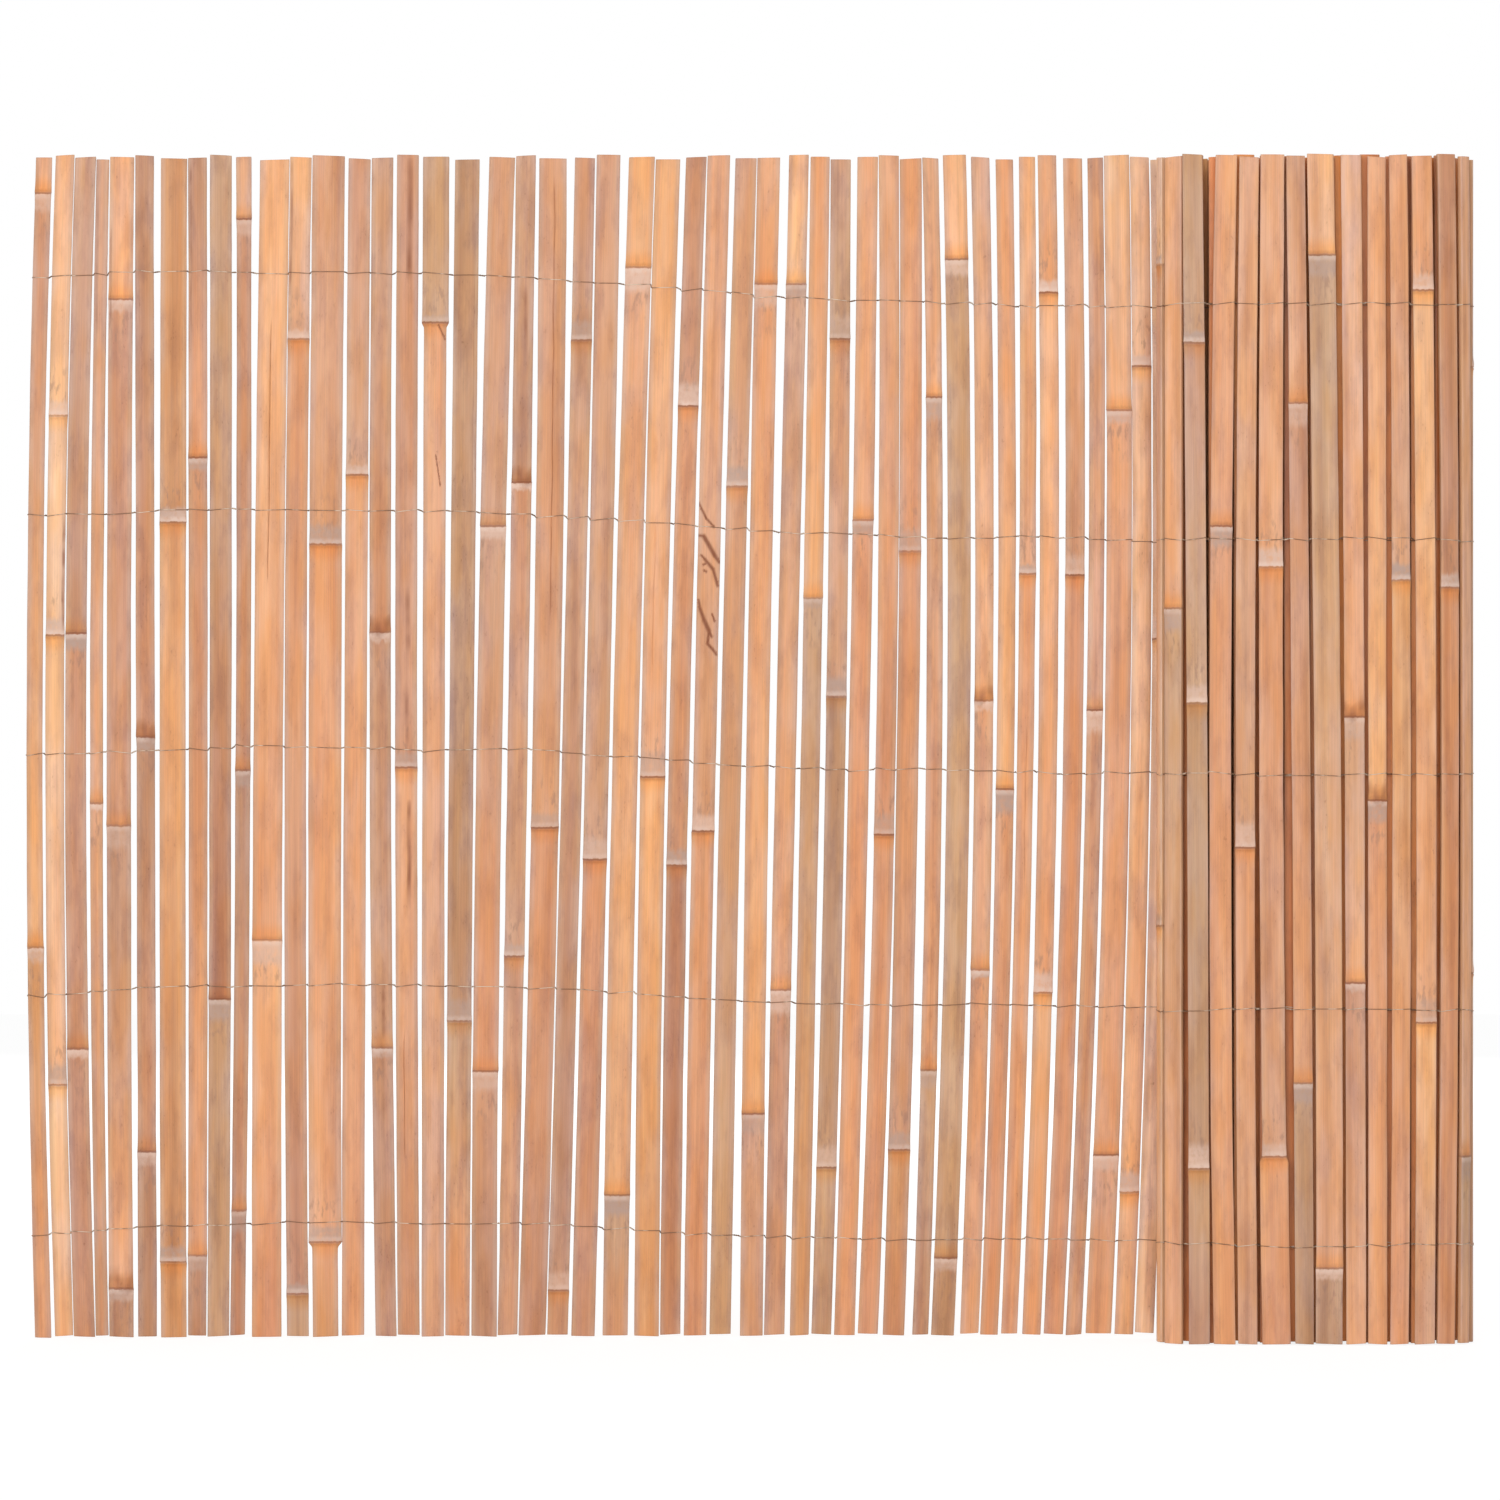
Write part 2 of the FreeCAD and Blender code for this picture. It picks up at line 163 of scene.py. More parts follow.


# Skin tones of each slat, read from its head to its foot. A joint stands between two tones:
# | with its bloom above the line, ! with its bloom below, # with its bloom below and a dark band above.
# A>B goes over from A to B.
WING_TONES = (
    "apricot ! rose>honey ! amber>orange",
    "peach>straw | cream>straw | straw>peach | cream>peach",
    "fawn>ash ! rose ! rose",
    "tan>apricot ! apricot>rose",
    "apricot ! rose ! brown>apricot # brown",
    "brown>sienna # brown>sienna ! brown",
    "amber | honey>amber | honey>amber",
    "brown>rust ! sienna>orange ! brown",
    "olive>umber ! olive",
    "pink ! sienna ! brown>sienna ! umber",
    "peach>orange ! peach>rust",
    "peach>pink | orange>rose | olive",
    "tan | orange>apricot | apricot>amber",
    "rose>fawn | apricot>orange",
    "fawn>sienna # ash>fawn ! ash",
    "rose | apricot>rose",
    "olive | apricot>pink",
    "moss | olive>orange ! moss>ash",
    "tan>fawn ! fawn>rust ! tan>ash",
    "fawn>ash # rose>fawn | tan",
    "tan | rust>rose",
    "rose>fawn | fawn>ash | tan",
    "tan>fawn | rust>rose",
    "honey ! apricot>honey ! olive>tan",
    "honey>apricot | honey>amber",
    "sienna>rose | orange>sienna | umber>sienna",
    "apricot>tan | orange>rust",
    "tan>fawn | tan>olive",
    "apricot>orange ! orange>honey ! pink>tan",
    "peach>straw ! fawn>apricot ! rose>tan",
    "orange>honey ! olive>amber",
    "fawn>olive | tan>fawn | moss | olive>moss",
    "apricot ! rust>orange",
    "apricot>rust | orange>rust",
    "orange>rust | rust>tan | amber>sienna",
    "pink>apricot ! tan>apricot ! olive>brown",
    "honey>peach ! olive ! moss",
    "pink>peach # apricot ! orange>apricot",
    "orange>honey ! orange>rust",
    "peach>apricot | orange",
    "apricot>orange | peach>orange | honey>orange",
    "apricot>tan | rust",
    "tan>pink ! tan",
    "straw>peach ! apricot ! pink>apricot",
    "straw | straw>peach | peach>honey",
    # Last wing slat: its cream is painted light against the roll's shadow
    "cream | cream",
)
# Roll's front run from right to left, then its folds, its back run and its inner turns
FRONT_TONES = (
    "sienna>rose | rust",
    "orange | honey>orange | honey>tan",
    "orange>tan | amber>rust",
    "orange>honey # rust>orange",
    "pink>orange # fawn>apricot ! rose>apricot",
    "peach ! olive>apricot ! moss",
    "tan>apricot ! rose>orange ! moss",
    "apricot>orange | rust>tan | orange>rust",
    "apricot>tan | orange>tan",
    "orange>rust ! rust>orange",
    "moss | ash>olive | moss | olive>brown",
)
# The second fold slat's cream is painted light that lifts it out of shade
FOLD_TONES = ("apricot ! olive>apricot", "cream | pink>straw | straw", "fawn | fawn", "tan>pink | fawn>tan")
BACK_TONES = (
    "tan>rose | orange",
    "ash>rose | tan | rose",
    "honey>tan | tan",
    "rose>brown | olive>tan",
    "peach>tan | rose | tan",
)
INNER_TONES = ("tan", "rose", "honey", "sienna", "amber", "orange", "rust")
ROLL_TONES = {
    "roll_back_slats": BACK_TONES,
    "roll_right_slats": FOLD_TONES[::-1],
    "roll_front_slats": FRONT_TONES,
    "roll_left_slats": FOLD_TONES,
    "roll_inner_slats": INNER_TONES,
}

# Casts over the tones: painted shade, red-brown, on the roll's inner turns seen through its gaps, and what
# strips and streaks take away elsewhere
INNER_SHADE_CAST = (1.06, 0.78, 0.46)
ROLL_CAST = (1.04, 1.05, 1.02)
WING_CAST = (1.015, 0.965, 0.88)

# Splits, grooves and stain marks of the wing slats, and dark strips along some edges, some of them
# painted shadow. Places across run from -1 at the left edge to 1, and the other lengths are in millimetres.
Split = namedtuple("Split", "across low high half_width depth dark")
SPLITS_AND_SHADE_STRIPS = {
    # Painted shadow: a dark strip at the right edge, where the next slat's edge shades it
    "slat_02": ((0.86, 596, 694, 1.8, 0.1, 0.8),),
    # Painted shade: a dark strip near the left edge, beside the slat before it
    "slat_04": ((-0.6, 850, 965, 1.6, 0.0, 0.3),),
    "slat_05": ((-0.84, 855, 945, 1.2, 0.2, 0.5),),
    "slat_08": ((-0.72, 852, 996, 1.3, 0.2, 0.5),),
    "slat_11": ((-0.1, 640, 862, 0.4, 0.7, 0.75),),
    # Painted shade: the dark strip at the left edge stands for the slat's side in shade
    "slat_12": ((-0.8, 886, 996, 1.4, 0.3, 0.6),),
    "slat_15": ((0.15, 254, 300, 2.0, 0.0, 0.6),),
    "slat_16": (
        (0.2, 895, 1000, 3.0, 0.1, 0.85),
        (0.15, 580, 636, 2.4, 0.0, 0.62),
        (0.1, 498, 552, 2.0, 0.0, 0.52),
        (0.25, 364, 456, 2.2, 0.1, 0.9),
        (-0.25, 150, 262, 0.35, 0.6, 0.6),
    ),
    "slat_18": ((0.7, 700, 900, 0.9, 0.1, 0.3),),
    "slat_20": ((0.2, 832, 892, 2.2, 0.0, 0.6),),
    "slat_21": ((0.14, 608, 985, 0.45, 0.5, 0.55),),
    "slat_25": ((-0.2, 560, 690, 0.4, 0.3, 0.3),),
    "slat_29": ((0.8, 741, 757, 1.2, 0.3, 0.7),),
    "slat_40": ((0.1, 380, 520, 0.4, 0.4, 0.4),),
}
# Slanted scratches, from stroke to stroke
Scratch = namedtuple("Scratch", "across height across_end height_end half_width")
SCRATCHES = {
    "slat_17": ((0.1, 748, 0.5, 722, 0.5), (0.3, 858, 0.85, 846, 0.7)),
    "slat_27": (
        (-1.0, 707, -0.3, 694, 0.9), (-0.3, 694, 0.4, 687, 0.9),
        (-1.0, 680, -0.5, 679, 1.1), (-0.5, 679, 0.0, 671, 1.7),
        (0.0, 671, 0.55, 662, 1.7), (0.55, 662, 0.95, 657, 1.4),
        (-0.7, 663, -0.4, 660, 0.9), (-0.4, 660, 0.05, 655, 1.2),
        (0.05, 655, 0.4, 651, 1.4), (0.4, 651, 0.85, 637, 1.2),
        (-0.5, 655, -0.25, 656, 0.9), (-0.4, 650, -0.2, 649, 0.9), (0.4, 613, 0.65, 607, 0.8),
        (-0.85, 625, -0.7, 618, 1.1), (-0.7, 618, -0.3, 608, 1.4),
        (-0.3, 608, 0.15, 599, 1.7), (0.15, 599, 0.4, 594, 1.1),
        (0.15, 598, 0.05, 588, 1.1), (0.05, 588, 0.45, 584, 1.2), (0.45, 584, 0.85, 579, 1.1),
    ),
}
SCRATCH_DEPTH = 0.25 * MM

# Weathering and streaking of the record's bamboo slots
BAMBOO_SLOTS = (
    ("bamboo_peach", 0.5, 0.6),
    ("bamboo_honey", 0.55, 0.6),
    ("bamboo_orange", 0.55, 0.7),
    ("bamboo_rose", 0.7, 0.8),
    ("bamboo_olive", 0.75, 0.7),
    ("bamboo_brown", 0.8, 0.9),
)

# Distance given where no joint is near, and how far a joint's look reaches, in millimetres
FAR = 99999.0
JOINT_REACH = 60

# Close levels of a slat's mesh, by their distance in millimetres from its ends and from a joint
END_LEVELS = (0.0, 0.3, 1.2, 3.0)
JOINT_LEVELS = (0.25, 0.6, 1.0, 1.6, 2.4, 3.4, 5.0, 7.0, 10.0, 14.0)
CLOSEST_LEVELS = 0.2 * MM

# Slat's section: half its thickness, the chamfer and slant of its sawn ends, its split side from the skin
# to the inner face, and the turns of its fine ribs
HALF_THICKNESS = 2.5 * MM
END_CHAMFER = 0.3 * MM
SAW_SLANT = 0.5 * MM
SIDE_INSETS = (0.05 * MM, 0.3 * MM, 0.6 * MM, 0.95 * MM)
SIDE_HEIGHTS = (0.4 * MM, -1.3 * MM, -2.15 * MM, -2.48 * MM)
RIBS = (5, 8, 13)

# Wire: its clearance over a slat, its dip at a slat's edges, its slant, the gap that takes three half
# turns of its twist, and the sides of its section
WIRE_CLEARANCE = 0.03 * MM
EDGE_DIP = 0.25 * MM
WIRE_SLANT = 1.2 * MM
WIDE_GAP = 2.6 * MM
WIRE_SIDES = 6

# Lamps, with their power settings and places in metres, all aimed at the panel's middle
LAMPS = (
    ("key_lamp", "key_power", (-1.7, -5.6, 1.7)),
    ("fill_lamp", "fill_power", (1.1, -5.7, 1.1)),
    ("back_lamp", "back_power", (0.4, 5.4, 2.2)),
)
LAMP_SIZE = 2.6
LAMP_AIM = (0.0, 0.0, 0.5)

# Floor: half its side, its drop below the feet, and the glow and paint that the camera sees
FLOOR_REACH = 8.0
FLOOR_DROP = 0.5 * MM
FLOOR_GLOW = 0.86
FLOOR_SHOWN = (0.24, 0.24, 0.24, 1.0)
WHITE = (1.0, 1.0, 1.0, 1.0)

SlatForm = namedtuple("SlatForm", "origin along skin levels middle joints lower upper widths")


def solids_of(node):
    """Welded corner points of each separate solid of a node."""
    mesh = frame["nodes"][node].data
    points = np.empty(len(mesh.vertices) * 3)
    mesh.vertices.foreach_get("co", points)
    ends = np.empty(len(mesh.edges) * 2, dtype=np.int32)
    mesh.edges.foreach_get("vertices", ends)
    corners, weld = np.unique(np.round(points.reshape(-1, 3), 6), axis=0, return_inverse=True)
    first, second = weld.reshape(-1)[ends].reshape(-1, 2).T
    label = np.arange(len(corners))
    while True:
        lowest = np.minimum(label[first], label[second])
        joined = label.copy()
        np.minimum.at(joined, first, lowest)
        np.minimum.at(joined, second, lowest)
        if (joined == label).all():
            return [corners[label == value] for value in np.unique(label)]
        label = joined


def read_slat(corners):
    """A slat's plan axes, bow, widths and joints, read from its solid's levels."""
    corners = corners[np.argsort(corners[:, 2])]
    breaks = np.flatnonzero(np.diff(corners[:, 2]) > 0.05 * MM) + 1
    levels = [level for level in np.split(corners, breaks) if len(level) >= 6]
    if len(levels) < 2:
        raise RuntimeError("a slat's solid has no two full levels")
    outline = levels[0][:, :2]
    centre = outline.mean(axis=0)
    turn = np.argsort(np.arctan2(*(outline - centre).T[::-1]))
    outline = outline[turn]
    edges = np.roll(outline, -1, axis=0) - outline
    longest = np.argmax(np.hypot(*edges.T))
    along = -edges[longest] / np.hypot(*edges[longest])
    skin = np.array((along[1], -along[0]))
    heights, middles, widths, faces = [], [], [], []
    for level in levels:
        across = (level[:, :2] - centre) @ along
        heights.append(level[:, 2].mean())
        middles.append((across.min() + across.max()) / 2)
        widths.append(across.max() - across.min())
        faces.append(((level[:, :2] - centre) @ skin).max())
    heights, faces = np.array(heights), np.array(faces)
    plain = np.median(faces)
    back = min(((level[:, :2] - centre) @ skin).min() for level in levels)
    joints = heights[faces > plain + 0.5 * MM]
    bow = np.polyfit(heights, middles, 2 if len(heights) > 2 else 1)
    origin = centre + skin * (plain + back) / 2
    return SlatForm(origin, along, skin, heights, bow, joints, heights[0], heights[-1], np.array(widths))


def parse_tones(line, joint_count):
    """Tone pairs and joint kinds of a line such as 'tan | rose>ash', for that number of joints."""
    parts = re.split(r"\s*([|!#])\s*", line.strip())
    pairs = [tuple(part.split(">")) if ">" in part else (part, part) for part in parts[0::2]]
    kinds = parts[1::2]
    while len(kinds) < joint_count:
        kinds.append("|")
        pairs.append(pairs[-2] if len(pairs) > 1 else pairs[-1])
    return pairs[: joint_count + 1], kinds[:joint_count]


def waves(rng, heights, count, shortest, longest):
    """Smooth seeded wander along a slat, about -1 to 1, of waves between two lengths in millimetres."""
    total = np.zeros_like(heights)
    for _ in range(count):
        wavelength = rng.uniform(shortest, longest) * MM
        total += np.sin(2 * math.pi * (heights / wavelength + rng.random()))
    return total / count


def mesh_levels(form, spacing, marks):
    """Heights of a slat's rings: even ones, and close ones at joints, ends and marks."""
    heights = list(np.arange(form.lower + spacing, form.upper - spacing / 2, spacing))
    for offset in END_LEVELS:
        heights += [form.lower + offset * MM, form.upper - offset * MM]
    for joint in form.joints:
        for offset in JOINT_LEVELS:
            heights += [joint - offset * MM, joint + offset * MM]
    for low, high, pitch in marks:
        heights += list(np.arange(low * MM, high * MM, pitch * MM))
    heights = np.unique(np.round(heights, 6))
    heights = heights[(heights >= form.lower) & (heights <= form.upper)]
    keep = np.append(True, np.diff(heights) > CLOSEST_LEVELS)
    keep[-1] = True
    return heights[keep]


def close_marks(splits, scratches):
    """Lower height, upper height and pitch of the close levels that splits and scratches need."""
    close = [(split.low - 3, split.high + 3, 4.0) for split in splits]
    if scratches:
        ends = [height for scratch in scratches for height in (scratch.height, scratch.height_end)]
        close.append((min(ends) - 4, max(ends) + 4, 1.2))
    return close


def split_edges(form, z, rng):
    """Middle and half width of a slat at each height, between two wandering edges that flare at joints."""
    make = bpy.context.scene.fence_slats
    half_solid = np.interp(z, form.levels, form.widths) / 2
    near = np.full(len(z), 1.0)
    if len(form.joints):
        near = np.min(np.abs(z[:, None] - form.joints[None, :]), axis=1)
    flare = make.joint_flare * np.exp(-((near / (6 * MM)) ** 2))
    edges = []
    for _ in range(2):
        steps = rng.uniform(-0.4, 1, len(form.joints) + 1) * make.joint_step
        stray = make.edge_wander * waves(rng, z, 3, 90, 420)
        edges.append(half_solid - steps[np.searchsorted(form.joints, z)] - stray + flare)
    middle = np.polyval(form.middle, z)
    left, right = middle - edges[0], middle + edges[1]
    return (left + right) / 2, (right - left) / 2


def skin_columns(z, half, splits, inner_count, rng):
    """Places across the skin from the left edge to the right one, and the course of each split."""
    bevel = bpy.context.scene.fence_slats.edge_round
    columns = [-half, -half + 0.3 * bevel, -half + bevel]
    columns += [place * half for place in np.linspace(-0.82, 0.82, inner_count)]
    courses = [split.across * half + 0.4 * MM * waves(rng, z, 2, 40, 160) for split in splits]
    for course, split in zip(courses, splits):
        columns += [course + side * split.half_width * MM for side in (-1, -0.5, 0, 0.5, 1)]
    columns += [half - bevel, half - 0.3 * bevel, half]
    across = np.clip(np.stack(columns, axis=1), -half[:, None], half[:, None])
    return np.sort(across, axis=1), courses


def plain_skin(z, across, half, rng):
    """Height of the crowned, round-edged and finely ribbed skin over the slat's middle."""
    make = bpy.context.scene.fence_slats
    bevel = make.edge_round
    u = across / half[:, None]
    from_edge = half[:, None] - np.abs(across)
    rounding = bevel - np.sqrt(np.maximum(bevel**2 - (bevel - from_edge) ** 2, 0))
    face = HALF_THICKNESS - make.crown * u**2 - np.where(from_edge < bevel, rounding, 0)
    for turns in RIBS:
        phase = rng.uniform(0, 6.3)
        drift = 0.4 * waves(rng, z, 1, 300, 700)
        face += make.rib / 2 * np.sin(turns * u * 1.7 + phase + drift[:, None])
    return face


JointMarks = namedtuple("JointMarks", "swell stub scar looks band")


def joint_marks(z, u, joints, kinds, rng):
    """Swelling, lip and groove of the joints, the walls inside, and what their finish needs."""
    make = bpy.context.scene.fence_slats
    swell = np.zeros(len(z))
    stub = np.zeros(len(z))
    scar = np.full(len(z), FAR)
    looks = np.zeros((len(z), 3))
    band = np.zeros_like(u)
    for joint, kind in zip(joints, kinds):
        rise = (z - joint) / MM
        off = rise if kind == "|" else -rise
        closer = np.abs(off) < np.abs(scar)
        looks[closer] = rng.uniform((8.0, 0.5, 0.5), (26.0, 1.0, 1.0))
        scar = np.where(closer, np.where(np.abs(off) < JOINT_REACH, off, np.sign(off) * FAR), scar)
        lip = 0.35 * np.exp(-(((off + 1.3) / 0.8) ** 2))
        swell += make.joint_swell * (np.exp(-(((off - 2.5) / 4.5) ** 2)) + lip)
        swell -= make.joint_groove * np.exp(-((off / 0.55) ** 2))
        stub += 0.7 * MM * np.exp(-((off / 2.2) ** 2))
        if kind == "#":
            above = rise[:, None] - 5 - 3 * np.sin(3 * u + rng.uniform(0, 6.3))
            band = np.maximum(band, np.clip(1 - np.abs(above) / 8, 0, 1) ** 0.5)
    return JointMarks(swell, stub, scar, looks, band)


def cut_splits_and_shade_strips(face, stain, z, across, courses, splits, rng):
    """Skin and its darkening with the slat's splits, long stain marks and painted edge shadows in them."""
    for course, split in zip(courses, splits):
        fade = np.clip((z / MM - split.low) / 12, 0, 1) * np.clip((split.high - z / MM) / 12, 0, 1)
        patchy = np.clip(0.75 + 0.45 * waves(rng, z, 3, 14, 60), 0, 1)
        away = np.abs(across - course[:, None]) / (split.half_width * MM)
        cut = np.clip(1 - away, 0, 1) * fade[:, None]
        face = face - split.depth * MM * cut
        stain = np.maximum(stain, split.dark * np.sqrt(cut) * patchy[:, None])
    return face, stain


def cut_scratches(face, stain, z, across, half, scratches):
    """Skin and stain with the slat's slanted, ragged scratches in them."""
    spots = np.stack((across, np.broadcast_to(z[:, None], across.shape)), axis=2)
    ragged = 0.4 * np.sin(1.9 * z / MM)[:, None] * np.sin(5 * across / MM)
    for scratch in scratches:
        start = np.array((scratch.across * half.mean(), scratch.height * MM))
        run = np.array((scratch.across_end * half.mean(), scratch.height_end * MM)) - start
        offset = spots - start
        t = np.clip(offset @ run / (run @ run), 0, 1)
        away = np.hypot(*np.moveaxis(offset - t[..., None] * run, 2, 0)) / MM + ragged
        cut = np.clip(1.5 - away / scratch.half_width, 0, 1)
        face = face - SCRATCH_DEPTH * cut
        stain = np.maximum(stain, 0.95 * cut)
    return face, stain


def close_section(z, half, across, face, stub, plain, rng):
    """Rings of the section: the skin, then the right side, the hollow inner face and the left side."""
    hollow = bpy.context.scene.fence_slats.hollow
    rough = 0.12 * MM * waves(rng, z, 4, 14, 60)
    jags = (rough, -rough, 0, 0)
    right = np.stack([half - inset + jag for inset, jag in zip(SIDE_INSETS, jags)], axis=1)
    sides = np.broadcast_to(np.array(SIDE_HEIGHTS), right.shape)
    inner = np.array((0.5, 0.0, -0.5) if plain else (0.62, 0.32, 0.0, -0.32, -0.62))
    back_x = inner[None, :] * half[:, None]
    back_y = -HALF_THICKNESS + (hollow - stub)[:, None] * (1 - inner[None, :] ** 2)
    uneven = np.sin(np.arange(len(z))[:, None] * 0.9 + np.arange(len(inner))[None, :] * 2.1)
    back_y = back_y + 0.06 * MM * uneven
    x = np.concatenate((across, right, back_x, -right[:, ::-1]), axis=1)
    y = np.concatenate((face, sides, back_y, sides[:, ::-1]), axis=1)
    return x, y


def saw_ends(z, x, half, rng):
    """Height of every ring point, with ends a little out of square and never past the solid's own."""
    height = np.repeat(z[:, None], x.shape[1], axis=1)
    for end, sign in ((0, 1), (-1, -1)):
        tilt = rng.uniform(-1, 1)
        reach = np.clip(1 - np.abs(z - z[end]) / (6 * MM), 0, 1)
        cut = SAW_SLANT * (abs(tilt) + tilt * x / half[:, None])
        height = height + sign * reach[:, None] * cut
    return height


def slat_tone(form, z, x, half, skin_count, pairs, node, plain, rng):
    """Colour of every ring point: the slat's tones, lengthwise strips, and greyed edges that are partly
    painted shade.
    """
    tones = bpy.context.scene.fence_tones
    internode = np.searchsorted(form.joints, z)
    top_first = (len(pairs) - 1) - internode
    bounds = np.concatenate(([form.lower], form.joints, [form.upper]))
    through = (bounds[internode + 1] - z) / (bounds[internode + 1] - bounds[internode])
    through = through * through * (3 - 2 * through)
    first, second = (np.array([tuple(getattr(tones, pairs[k][end])) for k in top_first]) for end in (0, 1))
    jitter = rng.uniform(0.97, 1.03, len(pairs))[top_first]
    colour = (first + (second - first) * through[:, None]) * jitter[:, None]
    tone = np.repeat(colour[:, None, :], x.shape[1], axis=1)
    lateral = np.clip(x / half[:, None], -1, 1)
    lean = waves(rng, z, 2, 260, 800)[:, None] * lateral
    tone *= 1 + lean[..., None] * np.array((0.05, 0.09, 0.11))
    for _ in range(4):
        strip = np.exp(-(((lateral - rng.uniform(-0.95, 0.95)) / rng.uniform(0.1, 0.4)) ** 2))
        depth = rng.uniform(-0.22, 0.12) * np.clip(0.5 + 1.5 * waves(rng, z, 2, 200, 800), 0, 1)
        tone *= 1 + (strip * depth[:, None])[..., None] * np.array((0.85, 1.05, 1.1))
    # The skin greys towards its split edges: partly painted shade of the rounded edges and the gaps between
    # slats
    if node in WING_NODES:
        tone *= np.array(WING_CAST)
        tone[:, skin_count:] *= np.array((1.1, 1.2, 1.3)) * rng.uniform(0.85, 1.1)
        edge_shade = 0.5 * np.clip((4.8 * MM - half[:, None] + np.abs(x)) / (3.0 * MM), 0, 1)
    else:
        # The roll's inner turns take the painted shade cast, the other roll slats the plain cast
        tone *= np.array(INNER_SHADE_CAST if plain else ROLL_CAST)
        edge_shade = 0.42 * np.clip((np.abs(lateral) - 0.76) / 0.2, 0, 1)
    return tone + (np.array(tuple(tones.edge)) - tone) * edge_shade[..., None]


# Points, faces and point attributes of one slat
SlatMesh = namedtuple("SlatMesh", "points faces tone place marks looks stain")
ATTRIBUTES = (
    ("tone", "FLOAT_COLOR", "color"),
    ("place", "FLOAT_VECTOR", "vector"),
    ("marks", "FLOAT_VECTOR", "vector"),
    ("looks", "FLOAT_VECTOR", "vector"),
    ("stain", "FLOAT", "value"),
)


def side_quads(index):
    """Faces between rings of points, given by their numbers, ring by ring."""
    following = np.roll(index, -1, axis=1)
    corners = (index[:-1], following[:-1], following[1:], index[1:])
    return np.stack(corners, axis=2).reshape(-1, 4).tolist()


def build_slat(form, line, seed, node, plain=False):
    """Mesh of one slat: rounded section, swollen joints, wandering edges and sawn ends."""
    rng = np.random.default_rng(seed)
    splits = [Split(*row) for row in SPLITS_AND_SHADE_STRIPS.get(node, ())]
    scratches = [Scratch(*row) for row in SCRATCHES.get(node, ())]
    spacing = bpy.context.scene.fence_slats.step * (3 if plain else 1)
    z = mesh_levels(form, spacing, close_marks(splits, scratches))
    middle, half = split_edges(form, z, rng)
    chamfer = np.zeros(len(z))
    chamfer[[0, -1]] = END_CHAMFER
    half = half - chamfer

    # Skin
    inner_count = 5 if plain else (31 if scratches else 7)
    across, courses = skin_columns(z, half, splits, inner_count, rng)
    u = across / half[:, None]
    face = plain_skin(z, across, half, rng)
    pairs, kinds = parse_tones(line, len(form.joints))
    joint = joint_marks(z, u, form.joints, kinds[::-1], rng)
    face += joint.swell[:, None] * (1 - 0.25 * u**2)
    face, stain = cut_splits_and_shade_strips(face, np.zeros_like(face), z, across, courses, splits, rng)
    face, stain = cut_scratches(face, stain, z, across, half, scratches)
    stain = np.maximum(stain, 0.7 * joint.band * (0.75 + 0.25 * np.sin(7 * u + 3)))

    # Whole section and its attributes
    x, y = close_section(z, half, across, face, joint.stub, plain, rng)
    y = y * (1 - chamfer / HALF_THICKNESS)[:, None]
    height = saw_ends(z, x, half, rng)
    count, ring = x.shape
    skin_count = across.shape[1]
    tone = slat_tone(form, z, x, half, skin_count, pairs, node, plain, rng)
    shift = rng.uniform(0, 4000, 3)
    place = np.stack((x / MM + shift[0], y / MM + shift[1], height / MM + shift[2]), axis=2)
    marks = np.zeros((count, ring, 3))
    marks[..., 0] = joint.scar[:, None]
    marks[:, skin_count:, 1] = 1
    looks = np.repeat(joint.looks[:, None, :], ring, axis=1)
    darkening = np.zeros((count, ring))
    darkening[:, :skin_count] = stain

    # Points in the panel's frame, and the two ends as faces with points of their own
    plan = form.origin + (x + middle[:, None])[..., None] * form.along + y[..., None] * form.skin
    points = np.concatenate((plan, height[..., None]), axis=2)
    index = np.arange(count * ring).reshape(count, ring)
    faces = side_quads(index)
    for start, order in ((count * ring, -1), (count * ring + ring, 1)):
        faces.append([start + k for k in range(ring)][::order])
    ends = np.concatenate((index[0], index[-1]))
    rows = [values.reshape(-1, 3) for values in (points, tone, place, marks, looks)]
    points, tone, place, marks, looks = (np.concatenate((values, values[ends])) for values in rows)
    marks[count * ring:, 2] = 1
    darkening = np.concatenate((darkening.reshape(-1), np.zeros(2 * ring)))
    return SlatMesh(points, faces, tone, place, marks, looks, darkening)


def joined_mesh(name, parts):
    """One mesh of several parts' points and faces, with smooth sides and flat ends."""
    faces, start = [], 0
    for points, part_faces in parts:
        faces += [[corner + start for corner in face] for face in part_faces]
        start += len(points)
    mesh = bpy.data.meshes.new(name)
    mesh.from_pydata(np.concatenate([points for points, _ in parts]).tolist(), [], faces)
    mesh.polygons.foreach_set("use_smooth", [len(face) == 4 for face in faces])
    return mesh


def place_piece(mesh, node):
    """Puts a mesh in place of its CAD node, with the finish of the node's slot."""
    mesh.update()
    slot = SLOT_OF[node]
    mesh.materials.append(bpy.data.materials[finish_name(slot)])
    piece = bpy.data.objects.new(mesh.name, mesh)
    bpy.context.scene.collection.objects.link(piece)
    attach(piece, "root")
    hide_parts(node)


def add_bamboo(slats, node):
    """One piece of slat meshes with their attributes, in place of its CAD node."""
    mesh = joined_mesh(f"bamboo_{node}", [(slat.points, slat.faces) for slat in slats])
    for label, kind, field in ATTRIBUTES:
        values = np.concatenate([getattr(slat, label) for slat in slats])
        if kind == "FLOAT_COLOR":
            values = np.column_stack((values, np.ones(len(values))))
        layer = mesh.attributes.new(label, kind, "POINT")
        layer.data.foreach_set(field, np.ascontiguousarray(values, dtype=np.float32).ravel())
    place_piece(mesh, node)


def finish_name(slot):
    """Name of the finished material of one of the record's slots."""
    return f"{slot}_finish"


